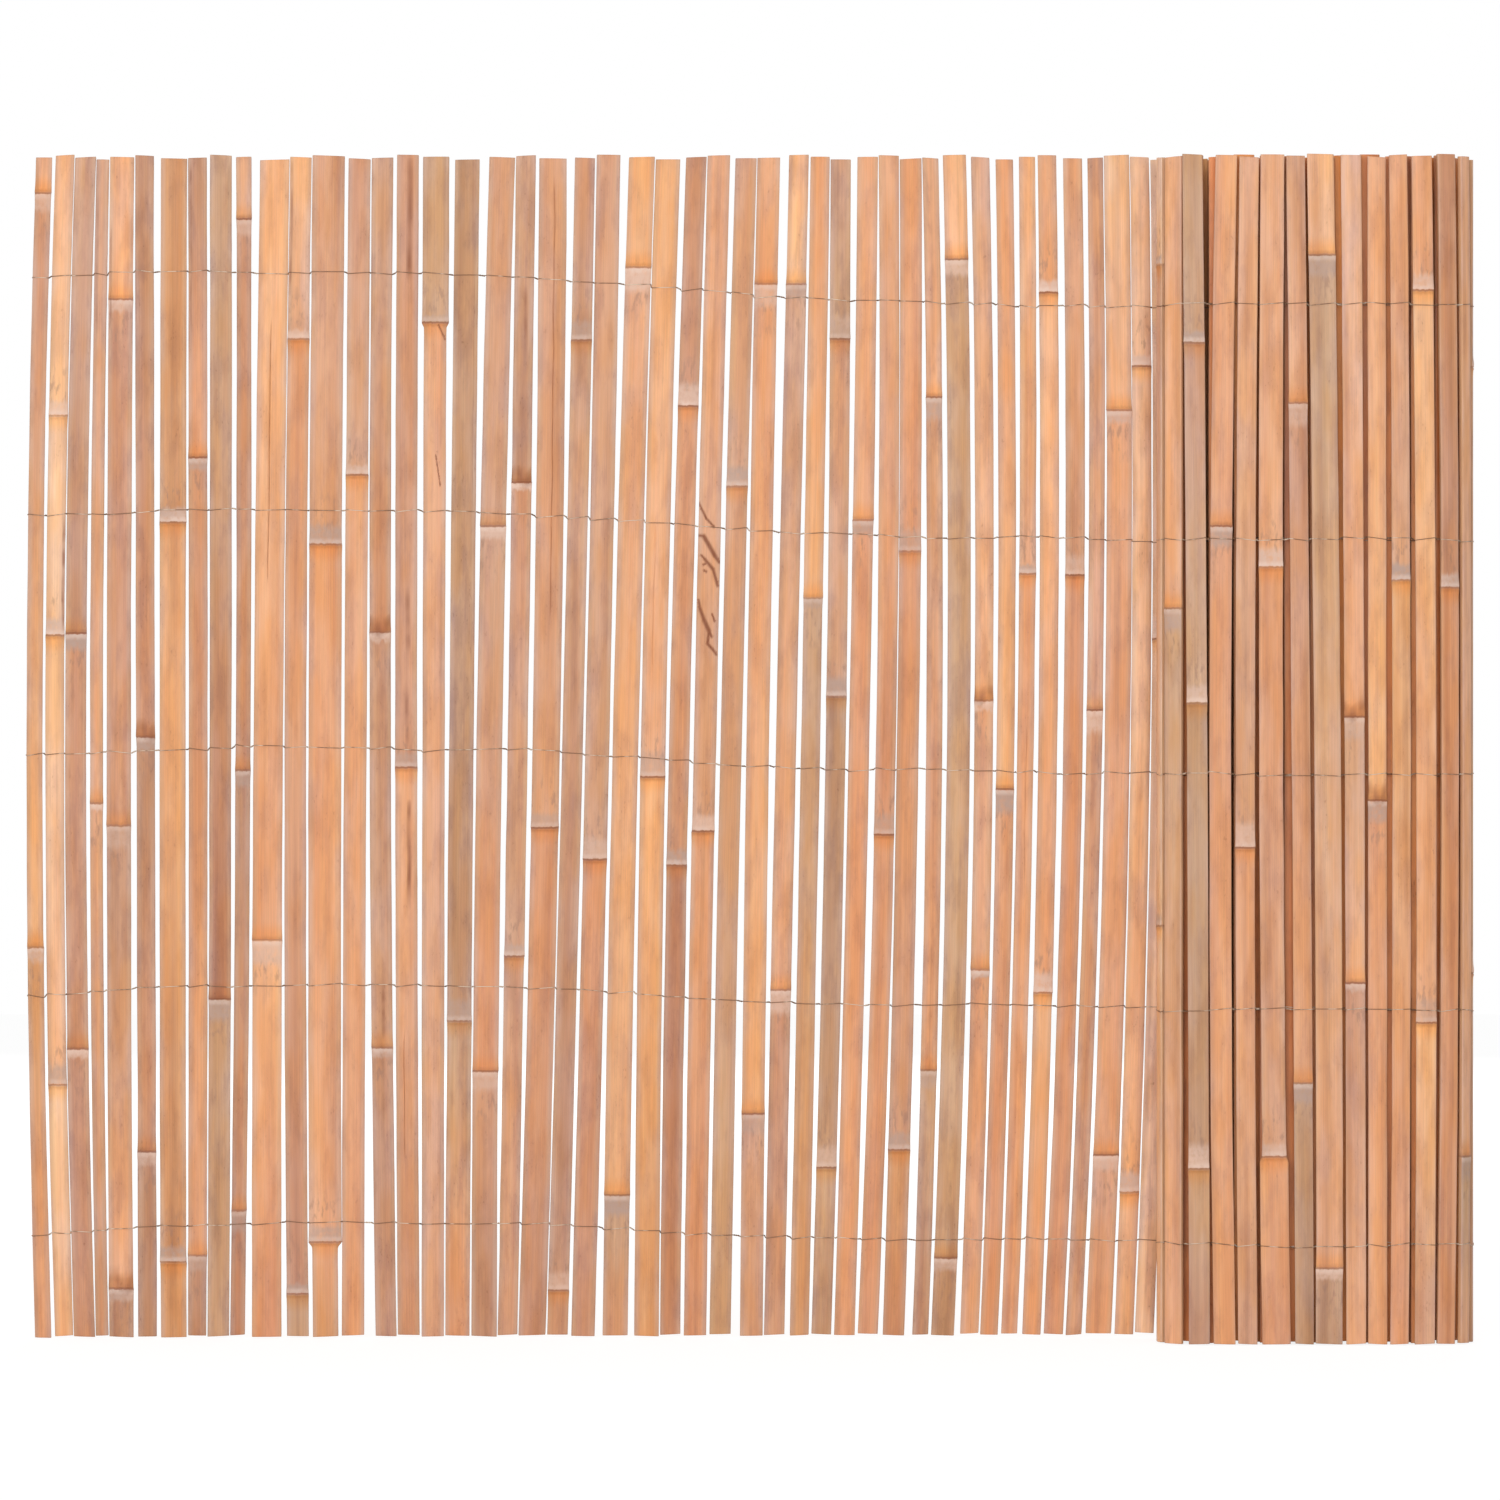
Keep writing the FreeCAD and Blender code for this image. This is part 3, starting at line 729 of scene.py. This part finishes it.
class Bench:
    """Places and joins the nodes of one tree."""

    def __init__(self, tree):
        self.tree = tree

    def feed(self, socket, value):
        """Links a socket's value, or sets it as a plain one."""
        if isinstance(value, bpy.types.NodeSocket):
            self.tree.links.new(value, socket)
        elif value is not None:
            socket.default_value = value

    def add(self, kind, settings=None, **inputs):
        """A node with its settings and inputs, whose names have _ for a space."""
        node = self.tree.nodes.new(kind)
        for key, value in (settings or {}).items():
            setattr(node, key, value)
        for key, value in inputs.items():
            self.feed(node.inputs[key.replace("_", " ")], value)
        return node

    def math(self, operation, first, second=None, clamp=False):
        node = self.add("ShaderNodeMath", {"operation": operation, "use_clamp": clamp})
        self.feed(node.inputs[0], first)
        self.feed(node.inputs[1], second)
        return node.outputs[0]

    def times(self, first, second):
        return self.math("MULTIPLY", first, second)

    def scaled(self, vector, factors):
        node = self.add("ShaderNodeVectorMath", {"operation": "MULTIPLY"})
        self.feed(node.inputs[0], vector)
        self.feed(node.inputs[1], factors)
        return node.outputs[0]

    def noise(self, vector, across, along, detail, roughness=0.5):
        """Noise whose grains have that size across and along a slat, in millimetres."""
        stretched = self.scaled(vector, (1 / across, 1 / across, 1 / along))
        grains = {"Vector": stretched, "Scale": 1.0, "Detail": detail, "Roughness": roughness}
        return self.add("ShaderNodeTexNoise", None, **grains).outputs[0]

    def ease(self, value, low, high, start=0.0, end=1.0):
        """Smooth step of a value from low to high, put out from start to end."""
        ends = {"Value": value, "From_Min": low, "From_Max": high, "To_Min": start, "To_Max": end}
        return self.add("ShaderNodeMapRange", {"interpolation_type": "SMOOTHSTEP"}, **ends).outputs[0]

    def mix(self, factor, first, second, blend="MIX"):
        """Colour between two others."""
        node = self.add("ShaderNodeMix", {"data_type": "RGBA", "blend_type": blend, "clamp_factor": True})
        for socket, value in ((0, factor), (6, first), (7, second)):
            if isinstance(value, tuple) and len(value) == 3:
                value = (*value, 1.0)
            self.feed(node.inputs[socket], value)
        return node.outputs[2]

    def tint(self, colour, factors):
        """Colour multiplied by another."""
        return self.mix(1.0, colour, factors, "MULTIPLY")

    def grey(self, value):
        node = self.add("ShaderNodeCombineColor", None, Red=value, Green=value, Blue=value)
        return node.outputs[0]


def fresh_bench(owner):
    """Bench on the emptied node tree of a material or a world."""
    owner.use_nodes = True
    owner.node_tree.nodes.clear()
    return Bench(owner.node_tree)


def new_group(name, inputs, outputs):
    """An empty node group with named sockets, its bench, its input node and its output node."""
    tree = bpy.data.node_groups.new(name, "ShaderNodeTree")
    for label, kind, default in inputs:
        socket = tree.interface.new_socket(label, in_out="INPUT", socket_type=kind)
        if default is not None:
            socket.default_value = default
    for label, kind in outputs:
        tree.interface.new_socket(label, in_out="OUTPUT", socket_type=kind)
    bench = Bench(tree)
    return tree, bench, bench.add("NodeGroupInput").outputs, bench.add("NodeGroupOutput").inputs


def grain_group():
    """Lengthwise fibres, streaks, blotches and specks of bamboo."""
    tree, bench, given, out = new_group(
        "Bamboo grain",
        [("Place", "NodeSocketVector", None)],
        [(label, "NodeSocketFloat") for label in ("Fibre", "Streak", "Blotch", "Cloud", "Speck")],
    )
    place = given["Place"]
    bench.feed(out["Fibre"], bench.ease(bench.noise(place, 0.8, 90, 3, 0.6), 0.3, 0.7))
    bench.feed(out["Streak"], bench.ease(bench.noise(place, 5.0, 300, 2), 0.3, 0.7))
    blotch = bench.noise(place, 11, 44, 4, 0.6)
    bench.feed(out["Blotch"], bench.ease(blotch, 0.42, 0.68))
    bench.feed(out["Cloud"], bench.ease(bench.noise(place, 15, 80, 3), 0.34, 0.66))
    fleck = bench.ease(bench.noise(place, 1.4, 4.0, 2), 0.62, 0.72)
    bench.feed(out["Speck"], bench.times(fleck, bench.ease(blotch, 0.48, 0.64)))
    return tree


def joint_group():
    """Line, pale rim, bloom, smears and warm band of a joint, by the distance from its line."""
    tree, bench, given, out = new_group(
        "Bamboo joint",
        [
            ("Distance", "NodeSocketFloat", FAR),
            ("Place", "NodeSocketVector", None),
            ("Bloom length", "NodeSocketFloat", 14.0),
            ("Bloom strength", "NodeSocketFloat", 0.7),
            ("Line strength", "NodeSocketFloat", 0.7),
        ],
        [(label, "NodeSocketFloat") for label in ("Line", "Lip", "Bloom", "Dust", "Smear", "Warm")],
    )
    place = given["Place"]
    wander = bench.math("SUBTRACT", bench.noise(place, 3.0, 400, 2), 0.5)
    distance = bench.math("ADD", given["Distance"], bench.times(wander, 2.2))
    below = bench.times(distance, -1.0)
    line = bench.ease(bench.math("ABSOLUTE", distance), 0.4, 1.4, 1.0, 0.0)
    tail = bench.times(bench.ease(below, 0.0, 0.5), bench.ease(below, 0.8, 5.0, 0.5, 0.0))
    line = bench.math("MAXIMUM", line, tail)
    bench.feed(out["Line"], bench.times(line, given["Line strength"]))
    patchy = bench.ease(bench.noise(place, 5, 6, 3, 0.6), 0.25, 0.6, 0.5, 1.0)
    rise = bench.ease(distance, 0.3, 1.6)
    rim = bench.times(bench.ease(distance, 0.6, 1.5), bench.ease(distance, 2.6, 6.5, 1.0, 0.0))
    bench.feed(out["Lip"], bench.times(bench.times(rim, patchy), given["Bloom strength"]))
    reach = bench.math("ADD", given["Bloom length"], bench.times(wander, 14.0))
    fade = bench.ease(distance, bench.times(reach, 0.6), reach, 1.0, 0.0)
    bloom = bench.times(bench.times(rise, fade), patchy)
    bench.feed(out["Bloom"], bench.times(bloom, given["Bloom strength"]))
    bench.feed(out["Dust"], bench.ease(bench.noise(place, 180, 180, 1), 0.42, 0.58))
    smear = bench.ease(bench.noise(place, 3.5, 12, 3, 0.55), 0.5, 0.68)
    near = bench.times(bench.ease(distance, 4.0, 16.0), bench.ease(distance, 22.0, 58.0, 1.0, 0.0))
    bench.feed(out["Smear"], bench.times(smear, near))
    warm = bench.times(bench.ease(below, 0.2, 1.4), bench.ease(below, 3.0, 18.0, 1.0, 0.0))
    bench.feed(out["Warm"], warm)
    return tree


def surface_group(grain, joint):
    """Colour, roughness and relief of a split slat, from its attributes."""
    tones = bpy.context.scene.fence_tones
    tree, bench, given, out = new_group(
        "Bamboo surface",
        [
            ("Tone", "NodeSocketColor", None),
            ("Place", "NodeSocketVector", None),
            ("Joint", "NodeSocketFloat", FAR),
            ("Bloom length", "NodeSocketFloat", 14.0),
            ("Bloom strength", "NodeSocketFloat", 0.7),
            ("Line strength", "NodeSocketFloat", 0.7),
            ("Flesh", "NodeSocketFloat", 0.0),
            ("End", "NodeSocketFloat", 0.0),
            ("Stain", "NodeSocketFloat", 0.0),
            ("Weathering", "NodeSocketFloat", 0.4),
            ("Streaking", "NodeSocketFloat", 0.5),
        ],
        [("Color", "NodeSocketColor"), ("Roughness", "NodeSocketFloat"), ("Height", "NodeSocketFloat")],
    )
    place = given["Place"]
    fibres = bench.add("ShaderNodeGroup", {"node_tree": grain}, Place=place).outputs
    bands = bench.add(
        "ShaderNodeGroup",
        {"node_tree": joint},
        Distance=given["Joint"],
        Place=place,
        Bloom_length=given["Bloom length"],
        Bloom_strength=given["Bloom strength"],
        Line_strength=given["Line strength"],
    ).outputs

    # Skin
    colour = given["Tone"]
    rosy = bench.tint(colour, (0.94, 0.88, 0.88))
    sunny = bench.tint(colour, (1.05, 1.07, 1.05))
    streaked = bench.mix(fibres["Streak"], rosy, sunny)
    colour = bench.mix(given["Streaking"], colour, streaked)
    colour = bench.tint(colour, bench.grey(bench.ease(fibres["Fibre"], 0, 1, 0.94, 1.045)))
    golden = bench.tint(colour, (0.985, 0.91, 0.77))
    clear = bench.tint(colour, (1.01, 1.055, 1.15))
    colour = bench.mix(fibres["Cloud"], clear, golden)
    greyed = bench.tint(colour, (0.74, 0.71, 0.79))
    colour = bench.mix(bench.times(fibres["Blotch"], given["Weathering"]), colour, greyed)
    speckled = bench.tint(colour, (0.70, 0.62, 0.56))
    colour = bench.mix(bench.times(fibres["Speck"], given["Weathering"]), colour, speckled)

    # Joint
    warmed = bench.tint(colour, (1.02, 0.85, 0.58))
    colour = bench.mix(bands["Warm"], colour, warmed)
    colour = bench.mix(bench.times(bands["Smear"], 0.5), colour, tuple(tones.smudge))
    bloom = bench.mix(bands["Dust"], tuple(tones.wax), tuple(tones.dust))
    colour = bench.mix(bench.times(bands["Bloom"], 0.95), colour, bloom)
    colour = bench.mix(bench.times(bands["Lip"], 0.45), colour, tuple(tones.lip))
    colour = bench.mix(bench.times(bands["Line"], 0.75), colour, tuple(tones.scar))
    # Stains, and the painted edge shadows, in the scar colour
    colour = bench.mix(given["Stain"], colour, tuple(tones.scar))

    # Split faces and sawn ends
    cut = bench.mix(0.45, tuple(tones.flesh), given["Tone"])
    cut = bench.tint(cut, bench.grey(bench.ease(fibres["Fibre"], 0, 1, 0.78, 1.08)))
    cut = bench.mix(bench.times(fibres["Blotch"], 0.45), cut, tuple(tones.rose))
    cut = bench.mix(bench.times(bands["Line"], 0.6), cut, tuple(tones.scar))
    colour = bench.mix(given["Flesh"], colour, cut)
    pores = bench.add("ShaderNodeTexVoronoi", None, Vector=bench.scaled(place, (1.6, 1.6, 0.0)), Scale=1.0)
    pore = bench.ease(pores.outputs["Distance"], 0.12, 0.34, 0.62, 1.0)
    sawn = bench.tint(bench.mix(0.4, tuple(tones.pith), given["Tone"]), bench.grey(pore))
    colour = bench.mix(given["End"], colour, sawn)
    bench.feed(out["Color"], colour)

    # Sheen and relief
    satin = bench.ease(fibres["Streak"], 0, 1, 0.46, 0.58)
    satin = bench.math("ADD", satin, bench.times(bands["Bloom"], 0.18))
    dull = bench.math("MAXIMUM", given["Flesh"], given["End"])
    satin = bench.math("ADD", satin, bench.times(dull, 0.25), clamp=True)
    bench.feed(out["Roughness"], satin)
    relief = bench.math("ADD", bench.times(fibres["Fibre"], 0.5), bench.times(fibres["Streak"], 0.35))
    relief = bench.math("SUBTRACT", relief, bench.times(bands["Line"], 0.6))
    relief = bench.math("ADD", relief, bench.times(bench.times(dull, fibres["Fibre"]), 0.8))
    bench.feed(out["Height"], bench.math("SUBTRACT", relief, given["Stain"]))
    return tree


def bamboo_material(slot, surface, weathering, streaking):
    """Satin bamboo skin of one of the record's slots."""
    bench = fresh_bench(bpy.data.materials.new(finish_name(slot)))
    read = {}
    for label in ("tone", "place", "marks", "looks", "stain"):
        read[label] = bench.add("ShaderNodeAttribute", {"attribute_name": label}).outputs
    split = bench.add("ShaderNodeSeparateXYZ", None, Vector=read["marks"]["Vector"]).outputs
    look = bench.add("ShaderNodeSeparateXYZ", None, Vector=read["looks"]["Vector"]).outputs
    skin = bench.add(
        "ShaderNodeGroup",
        {"node_tree": surface},
        Tone=read["tone"]["Color"],
        Place=read["place"]["Vector"],
        Joint=split["X"],
        Bloom_length=look["X"],
        Bloom_strength=look["Y"],
        Line_strength=look["Z"],
        Flesh=split["Y"],
        End=split["Z"],
        Stain=read["stain"]["Fac"],
        Weathering=weathering,
        Streaking=streaking,
    ).outputs
    bump = bench.add("ShaderNodeBump", None, Strength=0.35, Distance=0.0003, Height=skin["Height"])
    shader = bench.add(
        "ShaderNodeBsdfPrincipled",
        None,
        Base_Color=skin["Color"],
        Roughness=skin["Roughness"],
        Normal=bump.outputs[0],
        Specular_IOR_Level=0.35,
    )
    bench.add("ShaderNodeOutputMaterial", None, Surface=shader.outputs[0])


def wire_material():
    """Dulled zinc with a brown film in places."""
    make = bpy.context.scene.fence_wires
    bench = fresh_bench(bpy.data.materials.new(finish_name("galvanised_wire")))
    place = bench.scaled(bench.add("ShaderNodeTexCoord").outputs["Object"], (1 / MM, 1 / MM, 1 / MM))
    film = bench.ease(bench.noise(place, 14.0, 14.0, 3, 0.6), 0.38, 0.56)
    spangle = bench.ease(bench.noise(place, 0.9, 0.9, 2), 0.3, 0.7, 0.35, 0.55)
    colour = bench.mix(film, tuple(make.colour), tuple(make.tarnish))
    shader = bench.add("ShaderNodeBsdfPrincipled", None, Base_Color=colour, Roughness=spangle, Metallic=0.5)
    bench.add("ShaderNodeOutputMaterial", None, Surface=shader.outputs[0])


def slat_end(form, side):
    """Plan place of a slat's edge at mid height, on its side 1 or -1."""
    return form.origin + form.along * (side * form.widths.max() / 2 + np.polyval(form.middle, 0.5))


def mat_order(forms):
    """Slats in the order in which the wires reach them: along the wing, then round the roll."""
    order = [(form, 1) for node in WING_NODES for form in forms[node]]
    waiting = [form for node in ROLL_NODES for form in forms[node]]
    while waiting:
        leave = slat_end(*order[-1])
        reach = [np.hypot(*(slat_end(other, 1) - leave)) for other in waiting]
        order.append((waiting.pop(int(np.argmin(reach))), -1))
    return order


def row_line(node):
    """Places along X and heights of a wire row on the wing, read from its solids."""
    corners = np.concatenate(solids_of(node))
    columns = {}
    for x, y, z in corners:
        columns.setdefault((round(x, 5), round(y, 5)), []).append(z)
    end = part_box(WING_NODES[-1])[1].x
    listed = sorted((x, sum(zs) / len(zs)) for (x, _), zs in columns.items() if x < end)
    return np.array([x for x, _ in listed]), np.array([z for _, z in listed])


def smooth_line(points, steps):
    """Rounded line through points, with that many steps between two of them."""
    padded = np.concatenate((points[:1] * 2 - points[1:2], points, points[-1:] * 2 - points[-2:-1]))
    before, start, end, after = padded[:-3], padded[1:-2], padded[2:-1], padded[3:]
    square = 2 * before - 5 * start + 4 * end - after
    cube = 3 * start - before - 3 * end + after
    line = []
    for step in range(steps):
        t = step / steps
        line.append(0.5 * (2 * start + (end - before) * t + square * t**2 + cube * t**3))
    return np.concatenate((np.stack(line, axis=1).reshape(-1, 3), points[-1:]))


def tube(line, radius, sides):
    """Corner points and faces of a round wire along a line."""
    tangent = np.gradient(line, axis=0)
    tangent /= np.linalg.norm(tangent, axis=1)[:, None]
    level = np.cross(tangent, (0.0, 0.0, 1.0))
    level /= np.linalg.norm(level, axis=1)[:, None]
    rise = np.cross(level, tangent)
    angle = np.arange(sides) * 2 * math.pi / sides
    ring = np.cos(angle)[None, :, None] * level[:, None, :] + np.sin(angle)[None, :, None] * rise[:, None, :]
    points = line[:, None, :] + radius * ring
    index = np.arange(len(line) * sides).reshape(len(line), sides)
    return points.reshape(-1, 3), side_quads(index) + [index[0][::-1].tolist(), index[-1].tolist()]


def wire_strands(order, row, seed):
    """Two strands of a row: each goes over one slat and behind the next, twisted in the gaps."""
    make = bpy.context.scene.fence_wires
    crown = bpy.context.scene.fence_slats.crown
    rng = np.random.default_rng(seed)
    reach, heights = row_line(row)
    radius = make.radius
    stops = []
    sway = waves(rng, np.arange(len(order)) * MM, 3, 3.5, 14.0)
    for number, (form, heading) in enumerate(order):
        level = np.interp(form.origin[0], reach, heights)
        centre = form.origin + form.along * np.polyval(form.middle, level)
        half = np.interp(level, form.levels, form.widths) / 2
        level = level + make.wander * (sway[number] + 0.3 * rng.uniform(-1, 1))
        stops.append((form, heading, centre, half, level))

    strands = [[], []]
    for number, (form, heading, centre, half, level) in enumerate(stops):
        forward = form.along * heading
        outward = form.skin * heading
        tilt = WIRE_SLANT * rng.uniform(-1, 1)
        for strand in (0, 1):
            over = 1 if (number + strand) % 2 == 0 else -1
            on_skin = over * heading > 0
            side = outward * over
            path = strands[strand]
            if number == 0:
                path.append(np.append(centre - forward * (half + radius), level))
            for u in (-0.97, -0.5, 0.0, 0.5, 0.97):
                lift = HALF_THICKNESS - (crown * u * u if on_skin else 0.0) + radius + WIRE_CLEARANCE
                drop = EDGE_DIP if abs(u) > 0.9 else 0.0
                path.append(np.append(centre + forward * u * half + side * (lift - drop), level + tilt * u))
            if number + 1 == len(stops):
                path.append(np.append(centre + forward * (half + radius), level))
                continue
            other, other_heading, other_centre, other_half, other_level = stops[number + 1]
            leave = np.append(centre + forward * half, level + tilt)
            arrive = np.append(other_centre - other.along * other_heading * other_half, other_level)
            gap = np.linalg.norm(arrive - leave)
            halves = 1 if gap < WIDE_GAP else 3
            for step in range(1, 3 * halves):
                t = step / (3 * halves)
                turn = math.pi * halves * t
                normal = np.append(side * math.cos(turn), 0.0)
                twist = normal + np.array((0.0, 0.0, over * math.sin(turn)))
                path.append(leave + (arrive - leave) * (0.15 + 0.7 * t) + twist * radius * 1.02)
    return [np.array(path) for path in strands]


class FENCE_OT_finishes(bpy.types.Operator):
    """Makes one bamboo finish for each slot of the record, and the wire's"""

    bl_idname = "fence.finishes"
    bl_label = "Finishes"

    def execute(self, context):
        surface = surface_group(grain_group(), joint_group())
        for slot, weathering, streaking in BAMBOO_SLOTS:
            bamboo_material(slot, surface, weathering, streaking)
        wire_material()
        return {"FINISHED"}


class FENCE_OT_wing_slats(bpy.types.Operator):
    """Builds the wing's slats, each in place of its solid"""

    bl_idname = "fence.wing_slats"
    bl_label = "Wing slats"

    def execute(self, context):
        for number, node in enumerate(WING_NODES):
            (corners,) = solids_of(node)
            add_bamboo([build_slat(read_slat(corners), WING_TONES[number], 100 + number, node)], node)
        return {"FINISHED"}


class FENCE_OT_rolled_slats(bpy.types.Operator):
    """Builds the rolled-up slats, one piece for each run and fold of the roll"""

    bl_idname = "fence.rolled_slats"
    bl_label = "Rolled slats"

    def execute(self, context):
        for base, node in enumerate(ROLL_NODES, start=1):
            forms = [read_slat(corners) for corners in solids_of(node)]
            if node == "roll_front_slats":
                forms.sort(key=lambda form: -form.origin[0])
            elif node == "roll_left_slats":
                forms.sort(key=lambda form: -form.origin[0] + 2 * form.origin[1])
            plain = node == "roll_inner_slats"
            slats = []
            for number, form in enumerate(forms):
                line = ROLL_TONES[node][number % len(ROLL_TONES[node])]
                slats.append(build_slat(form, line, 1000 * base + number, node, plain))
            add_bamboo(slats, node)
        return {"FINISHED"}


class FENCE_OT_binding_wire(bpy.types.Operator):
    """Weaves the rows of binding wire round the slats"""

    bl_idname = "fence.binding_wire"
    bl_label = "Binding wire"

    def execute(self, context):
        forms = {}
        for node in (*WING_NODES, *ROLL_NODES):
            forms[node] = [read_slat(corners) for corners in solids_of(node)]
        order = mat_order(forms)
        radius = context.scene.fence_wires.radius
        for number, node in enumerate(WIRE_NODES):
            paths = wire_strands(order, node, 500 + number)
            strands = [tube(smooth_line(path, 2), radius, WIRE_SIDES) for path in paths]
            place_piece(joined_mesh(f"twisted_{node}", strands), node)
        return {"FINISHED"}


def seen_as(bench, lit, shown):
    """Shader that lights the scene as one, and shows the camera and reflections another."""
    rays = bench.add("ShaderNodeLightPath").outputs
    seen = bench.math("ADD", rays["Is Camera Ray"], rays["Is Glossy Ray"], clamp=True)
    seen = bench.math("ADD", seen, rays["Is Transmission Ray"], clamp=True)
    both = bench.add("ShaderNodeMixShader", None, Fac=seen)
    bench.feed(both.inputs[1], lit.outputs[0])
    bench.feed(both.inputs[2], shown.outputs[0])
    return both.outputs[0]


def add_camera(scene):
    """Camera square to the wing, at the photograph's framing."""
    make = scene.fence_stage
    wing_plane = sum(corner.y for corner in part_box(WING_NODES[0])) / 2
    lens = bpy.data.cameras.new("photo_camera")
    lens.sensor_width = 36.0
    lens.lens = lens.sensor_width * make.distance / make.view_width
    lens.clip_end = 100.0
    camera = bpy.data.objects.new("photo_camera", lens)
    camera.location = (make.aim_side, wing_plane - make.distance, make.aim_height)
    camera.rotation_euler = (math.radians(90), 0, 0)
    scene.collection.objects.link(camera)
    scene.camera = camera


def add_lamps(scene):
    """Large lamps aimed at the panel's middle."""
    for name, setting, spot in LAMPS:
        lamp = bpy.data.lights.new(name, "AREA")
        lamp.energy = getattr(scene.fence_stage, setting)
        lamp.size = LAMP_SIZE
        holder = bpy.data.objects.new(name, lamp)
        holder.location = spot
        aim = np.array(LAMP_AIM) - np.array(spot)
        tilt = math.atan2(math.hypot(aim[0], aim[1]), -aim[2])
        holder.rotation_euler = (tilt, 0, math.atan2(aim[1], aim[0]) - math.radians(90))
        scene.collection.objects.link(holder)


def add_world(scene):
    """Soft light from all round that shows as white."""
    world = bpy.data.worlds.new("white_room")
    bench = fresh_bench(world)
    soft = bench.add("ShaderNodeBackground", None, Color=WHITE, Strength=scene.fence_stage.sky)
    white = bench.add("ShaderNodeBackground", None, Color=WHITE, Strength=1.0)
    bench.add("ShaderNodeOutputWorld", None, Surface=seen_as(bench, soft, white))
    scene.world = world


def add_floor(scene):
    """Pale floor that shows nearly white and keeps the panel's shadow."""
    paint = bpy.data.materials.new("white_floor")
    bench = fresh_bench(paint)
    matt = bench.add("ShaderNodeBsdfDiffuse", None, Color=(*scene.fence_stage.floor, 1.0))
    pale = bench.add("ShaderNodeBsdfDiffuse", None, Color=FLOOR_SHOWN)
    glow = bench.add("ShaderNodeEmission", None, Strength=FLOOR_GLOW)
    shown = bench.add("ShaderNodeAddShader")
    bench.feed(shown.inputs[0], pale.outputs[0])
    bench.feed(shown.inputs[1], glow.outputs[0])
    bench.add("ShaderNodeOutputMaterial", None, Surface=seen_as(bench, matt, shown))
    turns = ((-1, -1), (1, -1), (1, 1), (-1, 1))
    mesh = bpy.data.meshes.new("floor")
    corners = [(x * FLOOR_REACH, y * FLOOR_REACH, -FLOOR_DROP) for x, y in turns]
    mesh.from_pydata(corners, [], [(0, 1, 2, 3)])
    mesh.materials.append(paint)
    floor = bpy.data.objects.new("floor", mesh)
    scene.collection.objects.link(floor)


class FENCE_OT_stage(bpy.types.Operator):
    """Sets up the camera, the lamps, the white ground and the floor"""

    bl_idname = "fence.stage"
    bl_label = "Stage"

    def execute(self, context):
        scene = context.scene
        add_camera(scene)
        add_lamps(scene)
        add_world(scene)
        add_floor(scene)
        scene.view_settings.view_transform = "Standard"
        return {"FINISHED"}


class FENCE_PT_panel(bpy.types.Panel):
    """Lists the fence panel's pieces"""

    bl_label = "Bamboo fence"
    bl_idname = "FENCE_PT_panel"
    bl_space_type = "VIEW_3D"
    bl_region_type = "UI"
    bl_category = "Bamboo fence"

    def draw(self, context):
        for operator in OPERATORS:
            self.layout.operator(operator.bl_idname)


SETTINGS = {
    "fence_tones": FenceTones,
    "fence_slats": SlatMake,
    "fence_wires": WireMake,
    "fence_stage": StageMake,
}
OPERATORS = (
    FENCE_OT_finishes,
    FENCE_OT_wing_slats,
    FENCE_OT_rolled_slats,
    FENCE_OT_binding_wire,
    FENCE_OT_stage,
)


def register():
    for group in SETTINGS.values():
        bpy.utils.register_class(group)
    for name, group in SETTINGS.items():
        setattr(bpy.types.Scene, name, bpy.props.PointerProperty(type=group))
    for operator in (*OPERATORS, FENCE_PT_panel):
        bpy.utils.register_class(operator)


def unregister():
    for operator in (FENCE_PT_panel, *reversed(OPERATORS)):
        bpy.utils.unregister_class(operator)
    for name in SETTINGS:
        delattr(bpy.types.Scene, name)
    for group in reversed(SETTINGS.values()):
        bpy.utils.unregister_class(group)


def main():
    register()
    bpy.ops.fence.finishes()
    bpy.ops.fence.wing_slats()
    bpy.ops.fence.rolled_slats()
    bpy.ops.fence.binding_wire()
    bpy.ops.fence.stage()


if __name__ == "__main__":
    main()
